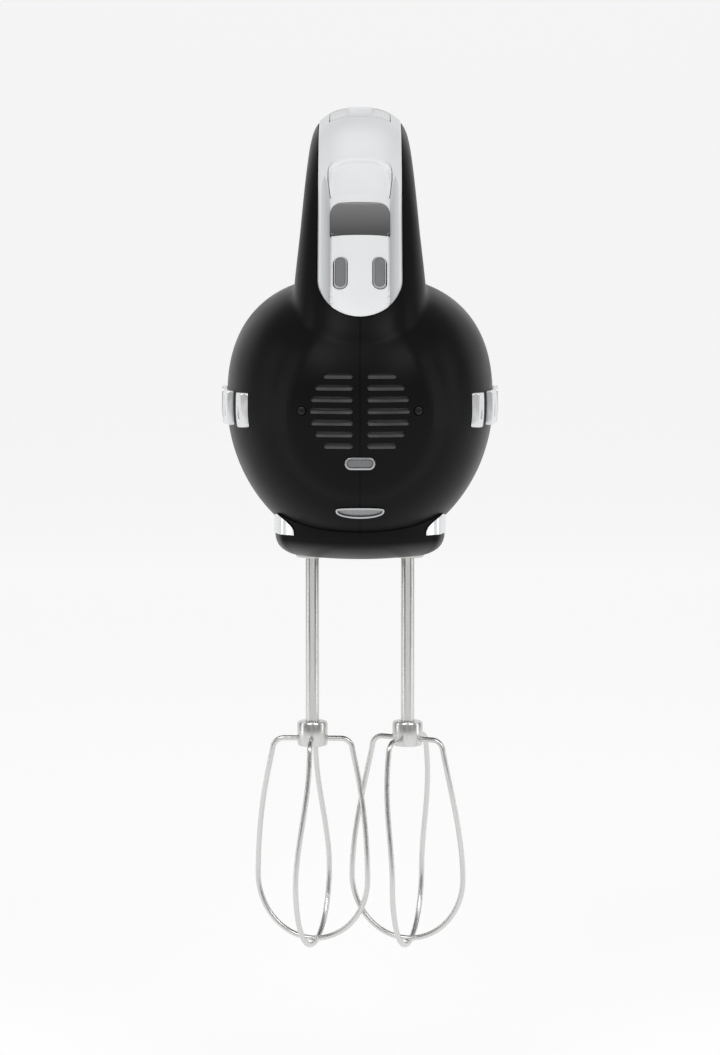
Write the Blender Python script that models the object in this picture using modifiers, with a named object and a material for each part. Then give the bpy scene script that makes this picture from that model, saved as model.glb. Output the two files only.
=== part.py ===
"""A retro hand mixer: two housing halves with a loop handle, a bright band with the controls, a keyed
spindle pair driven by one worm, an eject plunger and two wire beaters.

Metres, +Z up, the nose faces -Y.  The origin lies midway between the two spindles on the underside of
the base plate.  Every piece that moves has its origin on its joint's axis.
"""

import bmesh
import bpy
import numpy as np
from math import atan2, cos, pi, radians, sin, sqrt
from mathutils import Matrix, Vector

# ---- driving dimensions ----
GAP = 0.0003              # clearance between pieces that touch
SPLIT = 0.00015           # half of the parting line between the housing halves

BODY_HALF_WIDTH = 0.0472
BODY_TOP = 0.0992
BODY_BOTTOM = 0.0009
BODY_MIDDLE = 0.5413      # height of the widest line, as a share of top minus bottom
UPPER_POWER = 2.5         # the body is fuller above its widest line
LOWER_POWER = 1.94
BODY_WALL = 0.0026
NOSE_Y = -0.050           # foremost point of the nose
WIDEST_Y = 0.005          # station where the nose has reached its full width
NOSE_POWER = 2.4          # superellipse exponent of the nose, seen from the side
HEEL_Y = 0.148

HANDLE_WALL = 0.004
HANDLE_POWER = 2.4        # superellipse exponent of the grip's section
BAND_HALF_WIDTH = 0.0147
BAND_PROUD = 0.0004
BAND_DEEP = 0.0020
BAND_TIP_Z = 0.0868
BAND_TIP_RISE = 0.0115    # height of the band's rounded front end
BAND_TAIL_Z = 0.112
CONTROL_HALF_WIDTH = 0.0116   # opening in the housing under the band

BASE_HALF_WIDTH = 0.0300
BASE_BOW = 0.0125         # how far the chin's corners lie behind its middle
BASE_FRONT = -0.033
BASE_REAR = 0.116
BASE_CREASE = 0.0070      # height where the chin starts to rake back
BASE_FLOOR = 0.0030
BASE_WALL = 0.0052
TRIM_BOTTOM = 0.0093
TRIM_DEEP = 0.0022
# Edge of the trims seen from the front: x, z from the tip up.
TRIM_EDGE = ((0.0232, 0.0088), (0.0233, 0.0104), (0.0244, 0.0122), (0.0268, 0.0146), (0.0300, 0.0172), (0.0330, 0.0186))
TRIM_PROUD = 0.0005

SPINDLE_X = 0.0170
SPINDLE_RADIUS = 0.0046
SPINDLE_BOTTOM = 0.0020
SPINDLE_TOP = 0.0547
SHAFT_RADIUS = 0.0024     # of a beater
BORE_CLEARANCE = 0.0003
KEY_RADIUS = 0.0034       # reach of a beater's drive ears
KEY_HALF_WIDTH = 0.0009
BUSH_WALL = 0.0009
BUSH_PROUD = 0.0008
BUSH_TOP = 0.0060

MOTOR_Z = 0.0480
MOTOR_SHAFT_RADIUS = 0.0025
MOTOR_SHAFT_FRONT = -0.0190
MOTOR_SHAFT_REAR = 0.0925
WHEEL_TEETH = 24
WORM_STARTS = 2
WORM_PITCH_RADIUS = 0.0045
WHEEL_PITCH_RADIUS = SPINDLE_X - WORM_PITCH_RADIUS
MODULE = 2 * WHEEL_PITCH_RADIUS / WHEEL_TEETH
WORM_PITCH = pi * MODULE
WORM_LEAD = WORM_STARTS * WORM_PITCH
WORM_HALF_LENGTH = 0.0100
BACKLASH = 0.0004
ADDENDUM = 0.0009
DEDENDUM = 0.00122
FLANK = 0.364             # tangent of the 20 degree flank angle
WHEEL_THICKNESS = 0.0080

STATOR_RADIUS = 0.0210
STATOR_FRONT = 0.0360
STATOR_LENGTH = 0.0260
ARMATURE_RADIUS = 0.0125
AIR_GAP = 0.0006
FAN_Y = 0.0240
FAN_RADIUS = 0.0190
FAN_THICKNESS = 0.0070
COMMUTATOR_Y = 0.0700
COMMUTATOR_RADIUS = 0.0080
COMMUTATOR_LENGTH = 0.0100

EJECT_TRAVEL = 0.0050
EJECT_Y = (-0.0131, -0.0013)  # front and back faces of the eject button
EJECT_HALF_WIDTH = 0.0111
PLUNGER_Y = -0.0060
PIN_CLEARANCE = 0.0001     # a pin is this much slimmer than a beater's shaft
PIN_TOP = 0.0601
FORK_Z = 0.0720
FORK_THICKNESS = 0.0030

SPEED_BUTTON_X = 0.0068
SPEED_BUTTON_Z = 0.1012
SPEED_BUTTON_SIZE = (0.0046, 0.0130)
DISPLAY_Z = 0.1195
DISPLAY_SIZE = (0.0206, 0.0136)
TURBO_Z = 0.0366
TURBO_SIZE = (0.0105, 0.0043)
CRESCENT_Z = 0.0186
CRESCENT_SIZE = (0.0168, 0.0062)

VENT_Z = 0.0546
VENT_RADIUS = 0.0174      # circle that the slot ends follow
VENT_ROWS = 7
VENT_PITCH = 0.0040
VENT_HEIGHT = 0.0021
VENT_SPINE = 0.0024       # half of the rib between left and right slots
NOSE_SCREW_X = 0.0200
NOSE_SCREW_RADIUS = 0.00145

SWITCH_Y = 0.0270
SWITCH_HALF_WIDTH = 0.0107
SWITCH_LENGTH = 0.0130
SWITCH_TRAVEL = 0.0060

BADGE_Z = 0.0536
BADGE_HEIGHT = 0.0120
BADGE_YS = ((-0.0322, -0.0280), (-0.0195, -0.0113), (-0.0080, 0.0002), (0.0035, 0.0117))  # front and rear of each block
BADGE_PROUD = 0.0020

SHAFT_TOP = 0.0465        # upper end of a beater, inside its spindle
HUB_RADIUS = 0.00545
HUB_TOP = -0.0600
HUB_BOTTOM = -0.0688
WIRE_RADIUS = 0.00095
WIRE_EXIT_Z = -0.0662
SHOULDER_RADIUS = 0.0143
SHOULDER_BEND = 0.0040
CAGE_RADIUS = 0.0206
CAGE_WIDEST_Z = -0.1165
CAGE_BOTTOM = -0.1412
CAGE_TWIST = radians(13.0)
LEFT_TOP_ANGLE = radians(-93.5)
RIGHT_TOP_ANGLE = radians(-118.5)

# Body sections behind the nose: y, half width, top, bottom.
BODY_STATIONS = (
    (WIDEST_Y, BODY_HALF_WIDTH, BODY_TOP, BODY_BOTTOM),
    (0.020, 0.0468, 0.0976, 0.0012),
    (0.036, 0.0459, 0.0953, 0.0022),
    (0.055, 0.0439, 0.0924, 0.0045),
    (0.078, 0.0412, 0.0898, 0.0078),
    (0.102, 0.0378, 0.0885, 0.0118),
    (0.124, 0.0342, 0.0875, 0.0166),
    (0.138, 0.0308, 0.0860, 0.0212),
    (0.145, 0.0272, 0.0820, 0.0262),
    (HEEL_Y, 0.0232, 0.0765, 0.0320),
)

# Ribs of the handle: outer y, outer z, inner y, inner z, half width.
HANDLE_RIBS = (
    (-0.0460, 0.0620, 0.0040, 0.0660, 0.0270),
    (-0.0467, 0.0760, 0.0055, 0.0840, 0.0255),
    (-0.0430, 0.0870, 0.0062, 0.0950, 0.0236),
    (-0.0340, 0.1010, 0.0072, 0.1050, 0.0223),
    (-0.0240, 0.1140, 0.0092, 0.1140, 0.0211),
    (-0.0160, 0.1250, 0.0130, 0.1205, 0.0203),
    (-0.0020, 0.1400, 0.0200, 0.1255, 0.0193),
    (0.0120, 0.1515, 0.0280, 0.1282, 0.0184),
    (0.0280, 0.1570, 0.0360, 0.1290, 0.0178),
    (0.0460, 0.1585, 0.0470, 0.1290, 0.0176),
    (0.0750, 0.1585, 0.0740, 0.1290, 0.0172),
    (0.1000, 0.1555, 0.0960, 0.1277, 0.0170),
    (0.1220, 0.1450, 0.1100, 0.1222, 0.0172),
    (0.1370, 0.1280, 0.1172, 0.1120, 0.0178),
    (0.1440, 0.1080, 0.1200, 0.1000, 0.0190),
    (0.1462, 0.0900, 0.1208, 0.0880, 0.0205),
    (0.1455, 0.0700, 0.1180, 0.0740, 0.0220),
)

BODY_RING = 32
HANDLE_RING = 24
HANDLE_STATIONS = 27
MARGIN = 0.004            # how far a cutter runs past what it cuts
UP = Vector((0, 0, 1))


# ---- scene, materials and small tools ----
def clear_scene():
    for old in list(bpy.data.objects):
        bpy.data.objects.remove(old, do_unlink=True)


def new_collection(name):
    made = bpy.data.collections.new(name)
    bpy.context.scene.collection.children.link(made)
    return made


def material(name, colour, roughness, metallic=0.0):
    made = bpy.data.materials.new(name)
    made.use_nodes = True
    shader = made.node_tree.nodes["Principled BSDF"]
    shader.inputs["Base Color"].default_value = (*colour, 1)
    shader.inputs["Roughness"].default_value = roughness
    shader.inputs["Metallic"].default_value = metallic
    return made


def from_bmesh(name, bm):
    bmesh.ops.recalc_face_normals(bm, faces=bm.faces)
    mesh = bpy.data.meshes.new(name)
    bm.to_mesh(mesh)
    bm.free()
    made = bpy.data.objects.new(name, mesh)
    TOOLS.objects.link(made)
    return made


def keep(obj, name, surface, parent=None):
    """Makes a finished solid a node of the mixer."""
    obj.name = name
    obj.data.name = name
    TOOLS.objects.unlink(obj)
    MIXER.objects.link(obj)
    obj.data.materials.clear()
    obj.data.materials.append(surface)
    obj.data.shade_smooth()
    obj.data.set_sharp_from_angle(angle=radians(32))
    if parent:
        obj.parent = parent
        obj.matrix_parent_inverse = parent.matrix_world.inverted()
    return obj


def pivot(name, point):
    """An empty on a joint's axis, which the joint's pieces are parented to."""
    made = bpy.data.objects.new(name, None)
    made.location = point
    MIXER.objects.link(made)
    bpy.context.view_layer.update()
    return made


def baked(obj):
    """The object with its modifiers and placement applied to its mesh."""
    bpy.context.view_layer.update()
    graph = bpy.context.evaluated_depsgraph_get()
    mesh = bpy.data.meshes.new_from_object(obj.evaluated_get(graph))
    mesh.transform(obj.matrix_world)
    made = bpy.data.objects.new(obj.name, mesh)
    TOOLS.objects.link(made)
    bpy.data.objects.remove(obj, do_unlink=True)
    return made


def combine(target, operation, *others, keep_others=False):
    """Target with each other solid joined, cut away or intersected."""
    for other in others:
        step = target.modifiers.new(operation.lower(), "BOOLEAN")
        step.operation = operation
        step.solver = "EXACT"
        step.object = other
        target = baked(target)
        if not keep_others:
            bpy.data.objects.remove(other, do_unlink=True)
    return target


def cut(target, *cutters, keep_others=False):
    return combine(target, "DIFFERENCE", *cutters, keep_others=keep_others)


def join(target, *others):
    return combine(target, "UNION", *others)


def common(target, *others, keep_others=False):
    return combine(target, "INTERSECT", *others, keep_others=keep_others)


def copy_of(obj):
    made = obj.copy()
    made.data = obj.data.copy()
    TOOLS.objects.link(made)
    return made


def mirrored(obj):
    """The same solid on the other side of X = 0, so the housing halves match exactly."""
    made = copy_of(obj)
    made.data.transform(Matrix.Diagonal((-1, 1, 1, 1)))
    made.data.flip_normals()
    return made


def block(low, high, edge=0.0, segments=2):
    """A box between two corners, with its edges rounded by edge."""
    low, high = Vector(low), Vector(high)
    bm = bmesh.new()
    bmesh.ops.create_cube(bm, size=1)
    bmesh.ops.scale(bm, vec=high - low, verts=bm.verts)
    bmesh.ops.translate(bm, vec=(low + high) / 2, verts=bm.verts)
    if edge:
        bmesh.ops.bevel(
            bm, geom=bm.edges[:], offset=edge, segments=segments, profile=0.5, affect="EDGES"
        )
    return from_bmesh("block", bm)


def rod(start, end, radius, end_radius=None, segments=20):
    """A round bar or cone frustum between two points."""
    start, end = Vector(start), Vector(end)
    along = end - start
    bm = bmesh.new()
    bmesh.ops.create_cone(
        bm,
        cap_ends=True,
        segments=segments,
        radius1=radius,
        radius2=radius if end_radius is None else end_radius,
        depth=along.length,
    )
    turn = along.to_track_quat("Z", "Y").to_matrix().to_4x4()
    bmesh.ops.transform(bm, matrix=Matrix.Translation((start + end) / 2) @ turn, verts=bm.verts)
    return from_bmesh("rod", bm)


def tube(start, end, radius, bore, segments=20):
    start, end = Vector(start), Vector(end)
    past = (end - start).normalized() * MARGIN
    return cut(rod(start, end, radius, segments=segments), rod(start - past, end + past, bore, segments=segments))


def turned(profile, centre=(0, 0, 0), steps=32):
    """A solid of revolution about Z: (radius, height) pairs from the top down its outer side."""
    mesh = bpy.data.meshes.new("turned")
    edges = [(i, i + 1) for i in range(len(profile) - 1)]
    mesh.from_pydata([(r, 0, z) for r, z in profile], edges, [])
    made = bpy.data.objects.new("turned", mesh)
    TOOLS.objects.link(made)
    screw = made.modifiers.new("screw", "SCREW")
    screw.steps = screw.render_steps = steps
    screw.use_merge_vertices = True
    screw.merge_threshold = 0.00001
    made.location = centre
    return baked(made)


def loft(rings):
    """A solid through rings of equal point counts, closed by a cap at each end."""
    bm = bmesh.new()
    rows = [[bm.verts.new(point) for point in ring] for ring in rings]
    for row, following in zip(rows, rows[1:]):
        for i in range(len(row)):
            j = (i + 1) % len(row)
            bm.faces.new((row[i], row[j], following[j], following[i]))
    bm.faces.new(rows[0][::-1])
    bm.faces.new(rows[-1])
    return from_bmesh("loft", bm)


def prism(outline, origin, side, up, depth, back=0.0):
    """A flat outline of (side, up) points, pushed depth along side x up and back the other way."""
    side, up = Vector(side).normalized(), Vector(up).normalized()
    out = side.cross(up)
    flat = [Vector(origin) + side * a + up * b for a, b in outline]
    return loft([[p - out * back for p in flat], [p + out * depth for p in flat]])


def stadium(width, height, segments=6):
    """The outline of a slot with round ends along its longer side."""
    radius = min(width, height) / 2
    reach = max(width, height) / 2 - radius
    arc = [-pi / 2 + pi * i / segments for i in range(segments + 1)]
    right = [(reach + radius * cos(t), radius * sin(t)) for t in arc]
    outline = right + [(-a, -b) for a, b in right]
    return outline if width >= height else [(b, -a) for a, b in outline]


def superellipse(half_width, half_height, power, count):
    """Points of a superellipse, evenly spaced in its parameter."""
    points = []
    for i in range(count):
        t = 2 * pi * i / count
        c, s = cos(t), sin(t)
        points.append(
            (
                half_width * abs(c) ** (2 / power) * (1 if c >= 0 else -1),
                half_height * abs(s) ** (2 / power) * (1 if s >= 0 else -1),
            )
        )
    return points


def split_section(half_width, middle, top, bottom, ring):
    """One section of the body: a superellipse above its widest line and another below it."""
    upper = superellipse(half_width, top - middle, UPPER_POWER, ring)
    lower = superellipse(half_width, middle - bottom, LOWER_POWER, ring)
    return [(a[0], middle + a[1]) if a[1] > 0 else (b[0], middle + b[1]) for a, b in zip(upper, lower)]


def smooth_table(table, count):
    """Rows read from a table along a Catmull-Rom curve through it."""
    rows = np.array(table)
    padded = np.vstack((2 * rows[0] - rows[1], rows, 2 * rows[-1] - rows[-2]))
    made = []
    for t in np.linspace(0, len(rows) - 1, count):
        i = min(int(t), len(rows) - 2)
        f = t - i
        a, b, c, d = padded[i : i + 4]
        made.append(
            0.5 * (2 * b + (c - a) * f + (2 * a - 5 * b + 4 * c - d) * f**2 + (3 * b - a - 3 * c + d) * f**3)
        )
    return made


# ---- the two big forms ----
def body_solid(grow=0.0, ring=BODY_RING, stations=12):
    """The body's outer form, moved outwards by grow."""
    middle = BODY_BOTTOM + (BODY_TOP - BODY_BOTTOM) * BODY_MIDDLE
    rise, drop = BODY_TOP - middle + grow, middle - BODY_BOTTOM + grow
    half_width = BODY_HALF_WIDTH + grow
    reach = WIDEST_Y - NOSE_Y + grow
    rings = []
    for angle in (9, 18, 28, 38, 48, 58, 68, 79):
        t = radians(angle)
        share = sin(t) ** (2 / NOSE_POWER)
        y = WIDEST_Y - reach * cos(t) ** (2 / NOSE_POWER)
        low = middle - drop * share
        top = middle + rise * share
        outline = split_section(half_width * share, middle, top, low, ring)
        rings.append([(x, y, z) for x, z in outline])
    for y, width, top, bottom in smooth_table(BODY_STATIONS, stations):
        y += grow * max(0.0, (y - WIDEST_Y) / (HEEL_Y - WIDEST_Y))
        middle = bottom + (top - bottom) * BODY_MIDDLE
        outline = split_section(width + grow, middle, top + grow, bottom - grow, ring)
        rings.append([(x, y, z) for x, z in outline])
    return loft(rings)


def handle_ribs(count=HANDLE_STATIONS):
    """(outer point, inner point, half width) along the handle."""
    return [
        (Vector((0, r[0], r[1])), Vector((0, r[2], r[3])), r[4]) for r in smooth_table(HANDLE_RIBS, count)
    ]


def handle_solid(grow=0.0, ring=HANDLE_RING, stations=HANDLE_STATIONS):
    rings = []
    for outer, inner, width in handle_ribs(stations):
        out = (outer - inner).normalized()
        centre = (outer + inner) / 2
        outline = superellipse(width + grow, (outer - inner).length / 2 + grow, HANDLE_POWER, ring)
        rings.append([centre + Vector((x, 0, 0)) + out * n for x, n in outline])
    return loft(rings)


def band_solid(half_width, proud, deep, steps=8):
    """A strip over the handle's outer side, from deep below its surface to proud above it."""
    rings = []
    for outer, inner, width in handle_ribs()[1:-2]:
        out = (outer - inner).normalized()
        centre = (outer + inner) / 2
        half_depth = (outer - inner).length / 2
        xs = [(half_width + 0.0007) * (2 * i / steps - 1) for i in range(steps + 1)]
        rise = [half_depth * (1 - abs(x / width) ** HANDLE_POWER) ** (1 / HANDLE_POWER) for x in xs]
        over = [centre + Vector((x, 0, 0)) + out * (n + proud) for x, n in zip(xs, rise)]
        under = [centre + Vector((x, 0, 0)) + out * (n - deep) for x, n in zip(xs, rise)]
        rings.append(over + under[::-1])
    strip = loft(rings)
    return common(strip, band_outline(half_width))


def band_outline(half_width, steps=9):
    """What the band is trimmed to: straight sides, with a rounded end at the nose and at the heel."""
    slack = half_width - BAND_HALF_WIDTH
    arc = [pi / 2 * i / steps for i in range(steps + 1)]
    front = []
    for t in arc:
        front.append((half_width * sin(t), BAND_TIP_Z - slack + (BAND_TIP_RISE + slack) * (1 - cos(t))))
    tail_rise = half_width * 0.8
    back = []
    for t in arc:
        back.append((half_width * sin(t), BAND_TAIL_Z - slack + tail_rise * (1 - cos(t))))
    top = BODY_TOP * 2
    split_y = WIDEST_Y * 10
    shape = [(-x, z) for x, z in front[::-1]][:-1] + front + [(half_width, top), (-half_width, top)]
    nose_side = prism(shape, (0, split_y, 0), (1, 0, 0), UP, split_y - NOSE_Y * 2)
    shape = [(-x, z) for x, z in back[::-1]][:-1] + back + [(half_width, top), (-half_width, top)]
    heel_side = prism(shape, (0, HEEL_Y * 2, 0), (1, 0, 0), UP, HEEL_Y * 2 - split_y + MARGIN)
    return join(nose_side, heel_side)


def panel_frame(z):
    """Point, upward direction and outward direction of the control panel at height z."""
    line = [outer for outer, _, _ in handle_ribs(count=len(HANDLE_RIBS) * 8)]
    after = next(i for i, p in enumerate(line) if p.z >= z and p.y > NOSE_Y / 1.05)
    low, high = line[after - 1], line[after]
    point = low + (high - low) * ((z - low.z) / (high.z - low.z))
    up = (high - low).normalized()
    return point, up, Vector((1, 0, 0)).cross(up)


def nose_y(x, z):
    """Where the nose's surface lies at (x, z)."""
    middle = BODY_BOTTOM + (BODY_TOP - BODY_BOTTOM) * BODY_MIDDLE
    power, half = (UPPER_POWER, BODY_TOP - middle) if z > middle else (LOWER_POWER, middle - BODY_BOTTOM)
    share = (abs(x / BODY_HALF_WIDTH) ** power + abs((z - middle) / half) ** power) ** (1 / power)
    return WIDEST_Y - (WIDEST_Y - NOSE_Y) * (1 - share**NOSE_POWER) ** (1 / NOSE_POWER)


# ---- housing ----
def vent_slots():
    """(x centre, z, length) of every slot in the right half of the nose."""
    found = []
    for row in range(VENT_ROWS):
        rise = (row - (VENT_ROWS - 1) / 2) * VENT_PITCH
        end = sqrt(VENT_RADIUS**2 - rise**2)
        found.append(((end + VENT_SPINE) / 2, VENT_Z + rise, end - VENT_SPINE))
    return found


def nose_prism(outline, x, z, front, back):
    """A prism along Y through the nose's wall, measured from its surface at (x, z)."""
    y = nose_y(x, z)
    return prism(outline, (x, y + back, z), (1, 0, 0), UP, front + back)


def crescent_outline(grow=0.0, steps=8):
    """Nearly flat above and bowed below."""
    half, rise = CRESCENT_SIZE[0] / 2 + grow, CRESCENT_SIZE[1] / 2 + grow
    lower = [(half * cos(t), -rise * sin(t)) for t in [pi * i / steps for i in range(steps + 1)]]
    upper = [(-half * 0.7, rise * 0.62), (half * 0.7, rise * 0.62)]
    return [(a, b) for a, b in lower[::-1]] + upper[::-1]


def display_outline(grow=0.0, steps=5):
    """A window with a straight lower edge and a rounded upper one."""
    half, tall = DISPLAY_SIZE[0] / 2 + grow, DISPLAY_SIZE[1] / 2 + grow
    corner = tall * 0.62
    arc = [pi / 2 * i / steps for i in range(steps + 1)]
    right = [(half - corner + corner * cos(t), tall - corner + corner * sin(t)) for t in arc]
    low = 0.0012
    foot = [(half - low + low * sin(t), -tall + low - low * cos(t)) for t in arc[::2]]
    side = foot + right
    return side + [(-a, b) for a, b in side[::-1]]


def panel_prism(outline, z, out, inward, x=0.0):
    """A prism through the control panel at height z, along its normal."""
    point, up, normal = panel_frame(z)
    origin = point + Vector((x, 0, 0)) - normal * inward
    return prism(outline, origin, (1, 0, 0), up, out + inward)


def eject_prism(grow=0.0):
    front, back = EJECT_Y[0] - grow, EJECT_Y[1] + grow
    half = EJECT_HALF_WIDTH + grow
    nip = 0.0022
    shape = [(half * 0.9, front), (half, (front + back) / 2), (half, back - nip), (half - nip, back)]
    outline = shape + [(-x, y) for x, y in shape[::-1]]
    return prism(outline, (0, 0, FORK_Z), (1, 0, 0), (0, 1, 0), BODY_TOP)


def switch_cutter():
    half = SWITCH_HALF_WIDTH + GAP
    low = (-half, SWITCH_Y - SWITCH_LENGTH / 2 - GAP, 0.150)
    return block(low, (half, SWITCH_Y + SWITCH_LENGTH / 2 + SWITCH_TRAVEL + GAP, 0.175))


def make_shells():
    outside = join(body_solid(), handle_solid())
    inside = join(body_solid(-BODY_WALL, 24, 9), handle_solid(-HANDLE_WALL, 16, 20))
    cutters = [
        inside,
        # the underside is open to the base plate
        block((-0.0250, -0.0210, -0.010), (0.0250, 0.0950, 0.022)),
        band_solid(BAND_HALF_WIDTH + GAP, 4 * BAND_DEEP, BAND_DEEP + GAP),
        # room for the controls under the band
        block((-CONTROL_HALF_WIDTH, -0.060, 0.0927), (CONTROL_HALF_WIDTH, 0.0024, 0.1431)),
        block(
            (-SWITCH_HALF_WIDTH - GAP, SWITCH_Y - SWITCH_LENGTH / 2 - GAP, 0.145),
            (SWITCH_HALF_WIDTH + GAP, SWITCH_Y + SWITCH_LENGTH / 2 + SWITCH_TRAVEL + GAP, 0.170),
        ),
        nose_prism(stadium(TURBO_SIZE[0] + 2 * GAP, TURBO_SIZE[1] + 2 * GAP), 0, TURBO_Z, MARGIN, 2 * MARGIN),
        rod((0, 0.130, GLAND_Z), (0, 0.160, GLAND_Z), GLAND_RADIUS + GAP),
    ]
    point = (0, nose_y(0, CRESCENT_Z) + 0.0014, CRESCENT_Z)
    cutters.append(prism(crescent_outline(GAP), point, (1, 0, 0), UP, 3 * MARGIN))
    x = NOSE_SCREW_X
    y = nose_y(x, VENT_Z)
    cutters.append(
        rod((x, y - MARGIN, VENT_Z), (x, y + 2 * MARGIN, VENT_Z), NOSE_SCREW_RADIUS + GAP, segments=12)
    )
    for x, z, length in vent_slots():
        cutters.append(nose_prism(stadium(length, VENT_HEIGHT, 4), x, z, MARGIN, 2 * MARGIN))
    far = 0.3
    right = cut(common(outside, block((SPLIT, -far, -far), (far, far, far))), *cutters)
    keep(mirrored(right), "left_shell", BLACK)
    keep(right, "right_shell", BLACK)


def base_outline(inset=0.0, front=BASE_FRONT):
    """Plan of the base plate, anticlockwise from the front: bowed chin, tight corners, long sides."""
    half = BASE_HALF_WIDTH - inset
    corner_x, corner_y = 0.0277 - inset, front + BASE_BOW + inset
    right = []
    for i in range(6):
        x = corner_x * i / 5
        right.append((x, front + inset + BASE_BOW * (x / corner_x) ** 2))
    right += [(corner_x + 0.0014, corner_y + 0.0045), (half - 0.0002, corner_y + 0.0095)]
    right += [(half, corner_y + 0.0160), (half - 0.0004, 0.024), (half - 0.0016, 0.060), (half - 0.0036, 0.090)]
    rear = BASE_REAR - inset
    for t in (0.0, 0.35, 0.7, 1.05, 1.4):
        right.append(((half - 0.0060) * cos(t), rear - 0.016 + 0.016 * sin(t)))
    return right + [(-x, y) for x, y in right[:0:-1]]


def base_block(inset=0.0, top=0.0300):
    """The base's outer form: rounded below, with a chin that rakes back under its crease."""
    rings = []
    for z, pull, rake in (
        (0.0, 0.0072, 0.0110),
        (0.0009, 0.0046, 0.0088),
        (0.0024, 0.0024, 0.0066),
        (0.0045, 0.0009, 0.0030),
        (BASE_CREASE, 0.0003, 0.0003),
        (TRIM_BOTTOM, 0.0, 0.0),
        (top, 0.0, 0.0),
    ):
        outline = base_outline(inset + pull, BASE_FRONT + rake)
        rings.append([(x, y, z) for x, y in outline])
    return loft(rings)


def trim_zone(grow=0.0):
    """Where the bright trims lie: outside the base's inner wall, below a line that falls to their tips."""
    far = 0.2
    zone = block((-far, -far, TRIM_BOTTOM - grow), (far, far, 0.028))
    core = base_outline(TRIM_DEEP + grow)
    zone = cut(zone, loft([[(x, y, z) for x, y in core] for z in (0.0, 0.050)]))
    edge = [(x - grow, z + grow * 0.6) for x, z in TRIM_EDGE]
    line = edge + [(0.0420, 0.0290), (0.0420, 0.050)]
    outline = [(-x, z) for x, z in line[::-1]] + [(-TRIM_EDGE[0][0] + grow, 0.0), (TRIM_EDGE[0][0] - grow, 0.0)]
    return cut(zone, prism(outline + line, (0, far, 0), (1, 0, 0), UP, 2 * far))


def make_base():
    body = body_solid(GAP)
    zone = trim_zone()
    proud = base_block(-TRIM_PROUD, 0.0280)
    trim = cut(common(proud, zone), copy_of(body))
    far = 0.2
    right = common(trim, block((SPLIT, -far, -far), (far, far, far)))
    keep(mirrored(right), "left_trim", CHROME)
    keep(right, "right_trim", CHROME)

    base = cut(base_block(), trim_zone(GAP))
    pocket = base_outline(BASE_WALL, BASE_FRONT + 0.0060)
    pocket = loft([[(x, y, z) for x, y in pocket] for z in (BASE_FLOOR, 0.050)])
    cutters = [body, pocket]
    for side in (-1, 1):
        x = side * SPINDLE_X
        reach = SPINDLE_RADIUS + GAP + BUSH_WALL + GAP
        cutters.append(rod((x, 0, -MARGIN), (x, 0, 2 * MARGIN), reach))
    for x, y in BASE_SCREWS:
        cutters.append(rod((x, y, -MARGIN), (x, y, 2 * MARGIN), 0.0019, segments=12))
        cutters.append(rod((x, y, -MARGIN), (x, y, 0.0018), 0.0036, segments=16))
    for row in range(5):
        y = 0.040 + row * 0.0080
        outline = stadium(0.0300, 0.0030, 2)
        cutters.append(prism(outline, (0, y, -MARGIN), (1, 0, 0), (0, 1, 0), 3 * MARGIN))
    keep(cut(base, *cutters), "base_plate", BLACK)

    for number, (x, y) in enumerate(BASE_SCREWS, 1):
        screw = join(
            rod((x, y, 0.0004), (x, y, 0.0015), 0.0032, segments=16),
            rod((x, y, 0.0010), (x, y, 0.0110), 0.0015, segments=12),
        )
        screw = cut(screw, block((x - 0.0022, y - 0.0004, 0.0), (x + 0.0022, y + 0.0004, 0.0010)))
        keep(screw, f"base_screw_{number}", STEEL)


def make_band():
    band = band_solid(BAND_HALF_WIDTH, BAND_PROUD, BAND_DEEP)
    cutters = [
        panel_prism(display_outline(GAP), DISPLAY_Z, MARGIN, 2 * MARGIN),
        eject_prism(GAP),
        switch_cutter(),
    ]
    for side in (-1, 1):
        outline = stadium(*(size + 2 * GAP for size in SPEED_BUTTON_SIZE))
        cutters.append(panel_prism(outline, SPEED_BUTTON_Z, MARGIN, 2 * MARGIN, side * SPEED_BUTTON_X))
    keep(cut(band, *cutters), "handle_band", SATIN)

    keep(panel_prism(display_outline(), DISPLAY_Z, 0.0001, 0.0020), "display_window", GLASS)
    _, up, normal = panel_frame(SPEED_BUTTON_Z)
    names = {-1: "speed_down_button", 1: "speed_up_button"}
    for side, name in names.items():
        button = panel_prism(
            stadium(*SPEED_BUTTON_SIZE), SPEED_BUTTON_Z, 0.0008, 0.0040, side * SPEED_BUTTON_X
        )
        point = panel_frame(SPEED_BUTTON_Z)[0] + Vector((side * SPEED_BUTTON_X, 0, 0))
        keep(button, name, GREY, pivot(name + "_axis", point))

    low, _, _ = panel_frame(0.0945)
    board = prism(
        [(-0.0095, 0), (0.0095, 0), (0.0095, 0.0270), (-0.0095, 0.0270)],
        low - normal * 0.0067,
        (1, 0, 0),
        up,
        0.0012,
    )
    keep(board, "display_board", BOARD)


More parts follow.
